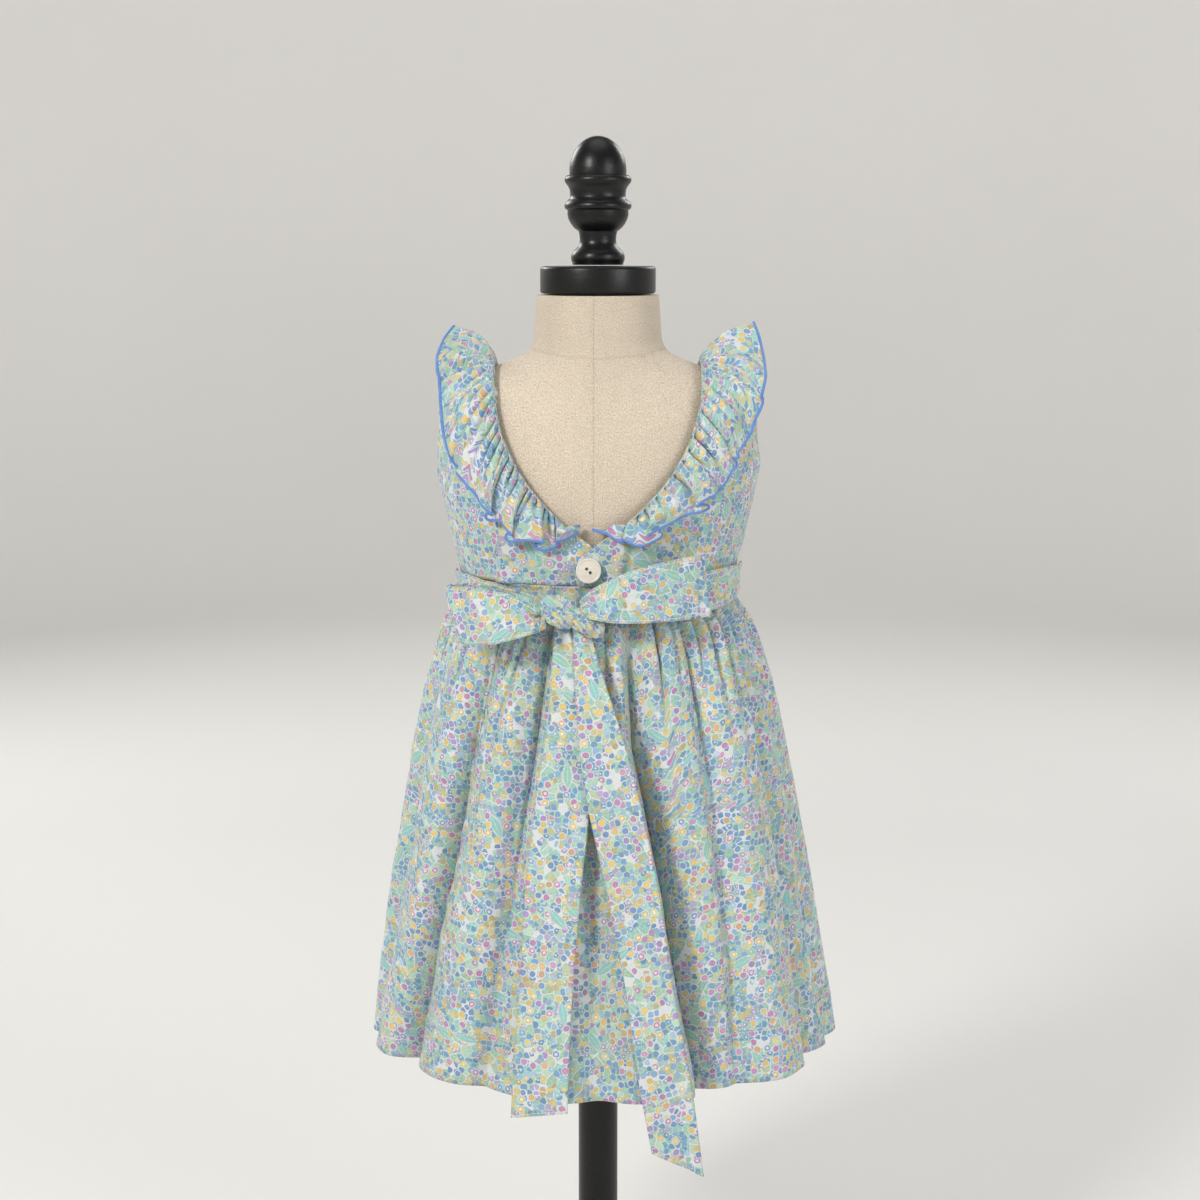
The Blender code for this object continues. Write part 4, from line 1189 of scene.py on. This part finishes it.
RIGHT_LOOP = [
    (-0.0120, -0.0120, -0.1060, -0.1040, 0.6070, 0.6180),
    (-0.0040, -0.0040, -0.1095, -0.1065, 0.6060, 0.6260),
    (0.0077, 0.0077, -0.1105, -0.1065, 0.6040, 0.6325),
    (0.0194, 0.0194, -0.1085, -0.1045, 0.6030, 0.6375),
    (0.0371, 0.0371, -0.1030, -0.0995, 0.6024, 0.6425),
    (0.0519, 0.0519, -0.0965, -0.0935, 0.6026, 0.6452),
    (0.0680, 0.0665, -0.0875, -0.0860, 0.6030, 0.6468),
    (0.0760, 0.0725, -0.0820, -0.0815, 0.6032, 0.6472),
    (0.0785, 0.0740, -0.0795, -0.0800, 0.6035, 0.6470),
    (0.0740, 0.0700, -0.0785, -0.0795, 0.6042, 0.6462),
    (0.0560, 0.0550, -0.0850, -0.0860, 0.6050, 0.6420),
    (0.0290, 0.0290, -0.0930, -0.0935, 0.6060, 0.6350),
    (0.0100, 0.0100, -0.0950, -0.0955, 0.6075, 0.6280),
    (-0.0080, -0.0080, -0.0955, -0.0960, 0.6080, 0.6190),
]


def bow_loop(name, side, stations, shift, seed):
    table = np.array(stations)
    t = np.linspace(0, 1, 220)
    places = np.linspace(0, 1, len(table))
    low_x, high_x, low_y, high_y, low_z, high_z = (
        curve_through(places, table[:, k], t) for k in range(6)
    )
    low, high = np.stack([low_x, low_y, low_z], -1), np.stack([high_x, high_y, high_z], -1)
    v = np.linspace(0, 1, 30)[:, None]
    grid = low + (high - low) * v[..., None]
    if side < 0:
        grid = grid[:, ::-1]
    near = np.minimum(t, 1 - t)[::side]
    bunch = np.exp(-near / 0.11)
    creases = crumple(v * 0.030 + 0 * near, near * 0.035, 0.0062, seed)
    out = 0.0016 * bunch * creases + 0.0007 * crumple(v * 0.035, near * 0.25, 0.018, seed + 1)
    roll = -0.0007 * ease(1 - np.minimum(v, 1 - v) / 0.05)
    grid = grid + outward(grid) * (out * ease(near / 0.03 + 0.3) + roll)[..., None]
    return strip_cloth(name, grid, shift, turn=0.15 * side)


loop_left = bow_loop("bow_loop_left_cloth", -1, LEFT_LOOP, (0.5, 0.3), 70)
loop_right = bow_loop("bow_loop_right_cloth", 1, RIGHT_LOOP, (1.1, 0.6), 75)
belong(loop_left, "print_cotton", "bow_loop_left")
belong(loop_right, "print_cotton", "bow_loop_right")

# %% [markdown]
# ## The knot
# The knot is the tie wrapped once round itself, so its creases follow the wrap from upper
# left to lower right. A ball is squeezed to its size and tilted, and grooves are pressed into
# it. Two smaller lumps are the roots of the tails and the turned end of the right loop.

# %% Knot
def deselect():
    bpy.ops.object.select_all(action="DESELECT")


def made(name):
    """The piece that an operator has just made, under its own name."""
    piece = bpy.context.object
    piece.name = piece.data.name = name
    return piece


def clear_maps(piece):
    for layer in list(piece.data.uv_layers):
        piece.data.uv_layers.remove(layer)


def alone(piece):
    """Select one piece only, which the operators then work on."""
    deselect()
    piece.select_set(True)
    bpy.context.view_layer.objects.active = piece


def lump(name, centre, half, tilt, pitch, depth, phase):
    """A ball of wrapped cloth: stretched, tilted and grooved along its long way."""
    deselect()
    bpy.ops.mesh.primitive_uv_sphere_add(segments=72, ring_count=48, radius=1.0, location=(0, 0, 0))
    piece = made(name)
    ball = np.array([v.co[:] for v in piece.data.vertices])
    bend = ball[:, 2] + 0.35 * ball[:, 0] ** 2
    groove = np.abs(np.sin(bend * pitch + phase + 0.7 * np.sin(2.1 * ball[:, 0])))
    size = 1 - depth * (1 - groove) ** 2 * ease(1.2 - np.abs(ball[:, 0]))
    place = ball * size[:, None] * half
    cosine, sine = math.cos(math.radians(tilt)), math.sin(math.radians(tilt))
    turn = np.array([[cosine, 0, -sine], [0, 1, 0], [sine, 0, cosine]])
    place = place @ turn + centre
    piece.data.vertices.foreach_set("co", place.astype(np.float32).ravel())
    flat = np.stack([ball[:, 0] * half[0] * 1.4, ball[:, 2] * half[2] * 1.4], -1)
    corner = np.array([l.vertex_index for l in piece.data.loops])
    clear_maps(piece)
    fill_uv(piece.data, "Print", (flat + 0.37)[corner])
    fill_uv(piece.data, "Stitch", np.ones((len(corner), 2)))
    piece.data.materials.append(print_cotton)
    alone(piece)
    bpy.ops.object.shade_smooth()
    return piece


knot = lump(
    "bow_knot_wrap", (-0.0270, -0.1030, 0.6103), (0.0150, 0.0115, 0.0112), 33, 7.5, 0.22, 0.4
)
root = lump(
    "bow_knot_root", (-0.0125, -0.1030, 0.6045), (0.0125, 0.0085, 0.0078), 42, 6.5, 0.25, 1.2
)
tuck = lump(
    "bow_knot_tuck", (-0.0035, -0.0985, 0.5985), (0.0085, 0.0062, 0.0082), 20, 5.0, 0.16, 0.8
)
belong(knot, "print_cotton", "bow_knot")
belong(root, "print_cotton")
belong(tuck, "print_cotton")

# %% [markdown]
# ## The tails
# The free ends of the tie fall from the knot in front of the skirt and past its hem. They are
# bunched at the top, lie flat lower down and end in a slanted cut. The right one lies over
# the left one where they cross.

# %% Tails
# Height of the left and of the right edge, and their places across.
LEFT_TAIL = [
    (0.5990, 0.5990, -0.0300, -0.0200), (0.5700, 0.5700, -0.0320, -0.0130),
    (0.5335, 0.5335, -0.0345, -0.0040), (0.4915, 0.4915, -0.0415, -0.0040),
    (0.4150, 0.4150, -0.0507, -0.0120), (0.3450, 0.3450, -0.0552, -0.0178),
    (0.2900, 0.2920, -0.0595, -0.0205), (0.2515, 0.2580, -0.0615, -0.0215),
]
RIGHT_TAIL = [
    (0.6010, 0.6010, -0.0190, -0.0080), (0.5700, 0.5700, -0.0165, 0.0015),
    (0.5160, 0.5160, -0.0130, 0.0190), (0.4720, 0.4720, -0.0065, 0.0305),
    (0.4080, 0.4080, 0.0080, 0.0437), (0.3500, 0.3500, 0.0190, 0.0520),
    (0.2740, 0.2740, 0.0300, 0.0663), (0.2290, 0.2080, 0.0382, 0.0751),
]


def tail(name, stations, clearance, shift, seed, slant, lip=0.0):
    table = np.array(stations)
    t = np.linspace(1, 0, 240)[:, None]
    places = np.linspace(0, 1, len(table))
    left_z, right_z, left_x, right_x = (curve_through(places, table[:, k], t) for k in range(4))
    u = np.linspace(0, 1, 34)[None, :]
    x, z = left_x + u * (right_x - left_x), left_z + u * (right_z - left_z)
    half_width, half_depth = half_sizes(SKIRT, np.maximum(z, 0.262))
    depth = half_depth * np.sqrt(1 - (x / half_width) ** 2)
    bunch = np.exp(-((t / 0.16) ** 2))
    out = 0.0022 * bunch * crumple(u * 0.012, t * 0.020, 0.0040, seed)
    out = out + 0.0009 * crumple(u * 0.030, t * 0.35, 0.030, seed + 1) * (1 - bunch)
    out = out - 0.0006 * ease(1 - np.minimum(u, 1 - u) / 0.05) + 0.0030 * bunch * np.sin(math.pi * u)
    out = out + lip * ease((u - 0.72) / 0.28) * (1 - bunch)
    grid = np.stack([x, -depth - clearance - out, z], -1)
    return strip_cloth(name, grid, shift, turn=slant, lay=(x, z))


tail_left = tail("tail_left_cloth", LEFT_TAIL, 0.0050, (0.7, 0.8), 80, 0.08)
tail_right = tail("tail_right_cloth", RIGHT_TAIL, 0.0095, (0.15, 0.35), 85, -0.22, lip=0.0030)
belong(tail_left, "print_cotton", "tail_left")
belong(tail_right, "print_cotton", "tail_right")

# %% [markdown]
# ## The linen form
# The torso is one ring drawn up through the ovals, as a potter draws up a wall: the ring is
# extruded, moved and resized for each height. Both ends are inset and closed.

# %% Form torso
def edit_mode(kind="VERT"):
    bpy.ops.object.mode_set(mode="EDIT")
    bpy.ops.mesh.select_mode(type=kind)


def object_mode():
    bpy.ops.object.mode_set(mode="OBJECT")


def drawn_up(name, levels, around=112):
    """A closed shape drawn up from a ring through (height, half width, half depth)."""
    deselect()
    z, a, b = levels[0]
    bpy.ops.mesh.primitive_circle_add(vertices=around, radius=1.0, location=(0, 0, z))
    piece = made(name)
    bpy.ops.transform.resize(value=(a, b, 1.0), center_override=(0, 0, z))
    bpy.ops.object.transform_apply(location=True, rotation=True, scale=True)
    edit_mode("EDGE")
    bpy.ops.mesh.select_all(action="SELECT")
    for (z, a, b), (next_z, next_a, next_b) in zip(levels, levels[1:]):
        bpy.ops.mesh.extrude_region_move(TRANSFORM_OT_translate={"value": (0, 0, next_z - z)})
        bpy.ops.transform.resize(value=(next_a / a, next_b / b, 1.0), center_override=(0, 0, next_z))
    object_mode()
    low, high = levels[0][0], levels[-1][0]
    for end in (low, high):
        for vert in piece.data.vertices:
            vert.select = abs(vert.co.z - end) < 1e-5
        for edge in piece.data.edges:
            edge.select = all(piece.data.vertices[i].select for i in edge.vertices)
        edit_mode("EDGE")
        bpy.ops.mesh.edge_face_add()
        bpy.ops.mesh.inset(thickness=0.004, depth=0.0)
        object_mode()
    edit_mode()
    bpy.ops.mesh.select_all(action="SELECT")
    bpy.ops.mesh.normals_make_consistent(inside=False)
    object_mode()
    return piece


heights = np.unique(np.concatenate([np.linspace(0.460, 0.770, 42), np.linspace(0.770, 0.8275, 36)]))
half_width, half_depth = half_sizes(FORM, heights)
levels = list(zip(heights.tolist(), half_width.tolist(), half_depth.tolist()))
torso = drawn_up("form_torso_linen", levels)
corner = np.array([l.vertex_index for l in torso.data.loops])
spots = np.array([v.co[:] for v in torso.data.vertices])
wrapped = np.stack([np.arctan2(spots[:, 0], -spots[:, 1]) * 0.095, spots[:, 2]], -1)[corner]
faces = np.repeat(np.arange(len(torso.data.polygons)), [p.loop_total for p in torso.data.polygons])
lowest = np.full(len(torso.data.polygons), 9.0)
np.minimum.at(lowest, faces, wrapped[:, 0])
wrapped[:, 0] += np.where(wrapped[:, 0] - lowest[faces] < -0.3, 0.597, 0.0)
clear_maps(torso)
fill_uv(torso.data, "Weave", wrapped)
torso.data.materials.append(linen)
alone(torso)
bpy.ops.object.shade_smooth_by_angle(angle=math.radians(40))
belong(torso, "linen", "form_torso")

# %% [markdown]
# ## Cap, knob, pole and foot
# All four are turned on a lathe. The knob's outline is drawn once and spun. The discs start
# as plain cylinders and get an inset, a shallow step and rounded edges.

# %% Turned knob
def fresh_cylinder(name, radius, bottom, top, around=96):
    deselect()
    bpy.ops.mesh.primitive_cylinder_add(
        vertices=around, radius=radius, depth=top - bottom, location=(0, 0, (top + bottom) / 2)
    )
    piece = made(name)
    bpy.ops.object.transform_apply(location=True, rotation=True, scale=True)
    return piece


def rounded_off(piece, width, segments=4, angle=35):
    bevel = piece.modifiers.new("rounding", "BEVEL")
    bevel.width = width
    bevel.segments = segments
    bevel.limit_method = "ANGLE"
    bevel.angle_limit = math.radians(angle)
    alone(piece)
    bpy.ops.object.modifier_apply(modifier="rounding")
    bpy.ops.object.shade_smooth_by_angle(angle=math.radians(40))


def end_face(piece, z, upward):
    """Select the one flat end of a turned piece."""
    for face in piece.data.polygons:
        flat = face.normal.z > 0.99 if upward else face.normal.z < -0.99
        face.select = flat and abs(face.center.z - z) < 1e-4


def inset_end(piece, z, upward, *steps):
    """Inset one flat end of a turned piece, in steps of width and depth."""
    end_face(piece, z, upward)
    edit_mode("FACE")
    for width, depth in steps:
        bpy.ops.mesh.inset(thickness=width, depth=depth)
    object_mode()


def spun(name, outline, steps, top=0.0, join=0.00002, inside=False):
    """A point drawn out along an outline of (radius, height), then spun round the axis."""
    deselect()
    bpy.ops.mesh.primitive_plane_add(size=0.01, location=(0, 0, 0))
    piece = made(name)
    edit_mode()
    bpy.ops.mesh.select_all(action="SELECT")
    bpy.ops.mesh.merge(type="CENTER")
    bpy.ops.transform.translate(value=(0, 0, top))
    for (radius, height), (next_radius, next_height) in zip(outline, outline[1:]):
        step = (next_radius - radius, 0, next_height - height)
        bpy.ops.mesh.extrude_region_move(TRANSFORM_OT_translate={"value": step})
    bpy.ops.mesh.select_all(action="SELECT")
    bpy.ops.mesh.spin(steps=steps, angle=2 * math.pi, center=(0, 0, 0), axis=(0, 0, 1))
    bpy.ops.mesh.select_all(action="SELECT")
    bpy.ops.mesh.remove_doubles(threshold=join)
    bpy.ops.mesh.normals_make_consistent(inside=inside)
    object_mode()
    return piece


KNOB_TOP = 0.9411
EGG = [(0.0207 * math.sin(a), 0.025 * (1 - math.cos(a))) for a in np.radians(np.linspace(0, 102, 18))]
TURNING = [
    (0.0199, 0.0284), (0.0206, 0.0279), (0.0222, 0.0280), (0.0234, 0.0288), (0.0241, 0.0300),
    (0.0243, 0.0314), (0.0239, 0.0328), (0.0229, 0.0342), (0.0215, 0.0360), (0.0206, 0.0379),
    (0.0202, 0.0400), (0.0201, 0.0428), (0.0204, 0.0442), (0.0216, 0.0455), (0.0231, 0.0467),
    (0.0240, 0.0481), (0.0244, 0.0497), (0.0241, 0.0512), (0.0233, 0.0522), (0.0222, 0.0527),
    (0.0221, 0.0534), (0.0222, 0.0560), (0.0214, 0.0592), (0.0198, 0.0624), (0.0177, 0.0652),
    (0.0152, 0.0672), (0.0141, 0.0679), (0.0139, 0.0686), (0.0134, 0.0710), (0.0132, 0.0740),
    (0.0134, 0.0762), (0.0142, 0.0782), (0.0158, 0.0800), (0.0176, 0.0817), (0.0189, 0.0835),
    (0.0195, 0.0856), (0.0195, 0.0876), (0.0191, 0.0894), (0.0186, 0.0903), (0.0185, 0.0920),
    (0.0, 0.0920),
]
outline = [(radius, -fall) for radius, fall in EGG + TURNING]
knob = spun("finial_turned", outline, 80, top=KNOB_TOP)
knob.data.materials.append(black_paint)
alone(knob)
bpy.ops.object.shade_smooth_by_angle(angle=math.radians(38))
belong(knob, "black_wood", "finial")

# %% Cap, pole and foot
CAP_LOW, CAP_TOP = 0.8278, 0.8488
cap = fresh_cylinder("neck_cap_disc", 0.0428, CAP_LOW, CAP_TOP)
inset_end(cap, CAP_TOP, True, (0.0145, 0.0), (0.0015, -0.0007))
rounded_off(cap, 0.0022)
cap.data.materials.append(black_paint)
belong(cap, "black_wood", "neck_cap")

POLE_LOW, POLE_TOP = 0.0203, 0.4597
pole = fresh_cylinder("pole_rod", 0.0150, POLE_LOW, POLE_TOP, 64)
inset_end(pole, POLE_LOW, False, (0.003, 0.0))
rounded_off(pole, 0.0012, 3)
pole.data.materials.append(black_paint)
belong(pole, "black_wood", "pole")

FOOT_TOP = 0.0200
foot = fresh_cylinder("base_disc", 0.1400, 0.0, FOOT_TOP, 128)
inset_end(foot, FOOT_TOP, True, (0.012, 0.0), (0.003, -0.0025), (0.060, 0.0), (0.020, 0.0025))
rounded_off(foot, 0.0030, 4, 20)
foot.data.materials.append(black_paint)
belong(foot, "black_wood", "base")

# %% [markdown]
# ## The button
# A turned two-hole button: a disc with a rounded edge, a raised rim round a shallow dish and
# two holes on the slant.

# %% Button
BUTTON_X, BUTTON_Y, BUTTON_Z = -0.0066, -0.0795, 0.6361
BUTTON_WALL, HOLE_RADIUS, HOLE_OFFSET = 0.0030, 0.0012, 0.0013
button = fresh_cylinder("button_disc", 0.0090, 0.0, BUTTON_WALL, 72)
inset_end(button, BUTTON_WALL, True, (0.0011, 0.0), (0.0004, -0.0004), (0.0030, -0.0001))
rounded_off(button, 0.0004, 3, 15)
for index, sign in enumerate((-1, 1)):
    drill = fresh_cylinder(f"drill_{index}", HOLE_RADIUS, -0.002, 0.006, 20)
    alone(drill)
    bpy.ops.transform.translate(value=(-HOLE_OFFSET * sign, HOLE_OFFSET * sign, 0))
    bpy.ops.object.transform_apply(location=True, rotation=True, scale=True)
    cut = button.modifiers.new("hole", "BOOLEAN")
    cut.object = drill
    cut.solver = "EXACT"
    alone(button)
    bpy.ops.object.modifier_apply(modifier="hole")
    bpy.data.objects.remove(drill)
button.rotation_euler = (math.pi / 2, 0, 0)
button.location = (BUTTON_X, BUTTON_Y, BUTTON_Z)
alone(button)
bpy.ops.object.transform_apply(location=True, rotation=True, scale=True)
bpy.ops.object.shade_smooth_by_angle(angle=math.radians(35))
button.data.materials.clear()
button.data.materials.append(button_white)
belong(button, "button", "button")

# %% [markdown]
# ## Floor and light
# A plain pale floor that curves up far away all round, so that no corner shows from any side.
# A key lamp and a weaker, larger one stand on the two sides of the back of the dress, with
# two more behind and one above, which keeps the shadows in the folds soft. A ring of lamps
# turned away from the dress lights the curved wall evenly. The plain display curve keeps the
# pale cloth as pale as it is.

# %% Floor
studio, tree, shader = new_finish("studio_paper", 0.9)
clouds = noise(tree, object_place(tree), 0.8)
feed(tree, mixed(tree, clouds, ink("e4e2de"), ink("e9e7e3")), shader.inputs["Base Color"])
BEND, BEND_START = 1.2, 3.6
WALL = BEND_START + BEND
sweep = [(0.0, 0.0), (1.2, 0.0), (2.6, 0.0), (BEND_START, 0.0)]
sweep += [
    (BEND_START + BEND * math.sin(a), BEND * (1 - math.cos(a))) for a in np.radians(range(9, 91, 9))
]
sweep += [(WALL, 2.6)]
floor = spun("studio_floor", sweep, 96, join=0.0005, inside=True)
alone(floor)
bpy.ops.object.shade_smooth()
floor.data.materials.append(studio)
print("floor:", len(floor.data.polygons), "faces")

# %% Lamps
def soft_lamp(name, place, aim, size, power, colour=(1.0, 1.0, 1.0)):
    lamp = bpy.data.lights.new(name, "AREA")
    lamp.shape = "DISK"
    lamp.size = size
    lamp.energy = power
    lamp.color = colour
    holder = bpy.data.objects.new(name, lamp)
    holder.location = place
    way = np.array(aim) - np.array(place)
    flat = math.hypot(way[0], way[1])
    holder.rotation_euler = (math.atan2(flat, -way[2]), 0.0, math.atan2(-way[0], way[1]))
    bpy.context.scene.collection.objects.link(holder)


WAISTWARDS = (0, 0, 0.6)
WARM, COOL = (1.0, 0.985, 0.96), (0.97, 0.985, 1.0)
WALL_LAMP = 2.3
soft_lamp("key_left", (-1.5, -1.9, 1.9), WAISTWARDS, 0.6, 43, WARM)
soft_lamp("fill_right", (1.8, -1.8, 1.3), WAISTWARDS, 1.3, 21, COOL)
soft_lamp("front_left", (-1.6, 2.0, 1.8), WAISTWARDS, 1.1, 26)
soft_lamp("front_right", (1.5, 2.1, 1.9), WAISTWARDS, 1.1, 18)
soft_lamp("top", (0.0, 0.0, 2.5), (0, 0, 0.5), 1.6, 8)
for index, turn in enumerate(np.radians([0, 60, 120, 180, 240, 300])):
    east, north = math.sin(turn), math.cos(turn)
    place = (WALL_LAMP * east, WALL_LAMP * north, 2.2)
    soft_lamp(f"wall_{index}", place, (WALL * east, WALL * north, 1.4), 2.0, 18)
world = bpy.data.worlds.new("studio_air")
bpy.context.scene.world = world
world.use_nodes = True
world.node_tree.nodes["Background"].inputs["Color"].default_value = (0.95, 0.97, 1.0, 1.0)
world.node_tree.nodes["Background"].inputs["Strength"].default_value = 0.24
bpy.context.scene.view_settings.view_transform = "Standard"

# %% Size and finish
def corners(box):
    return [[float(value) for value in corner] for corner in box]
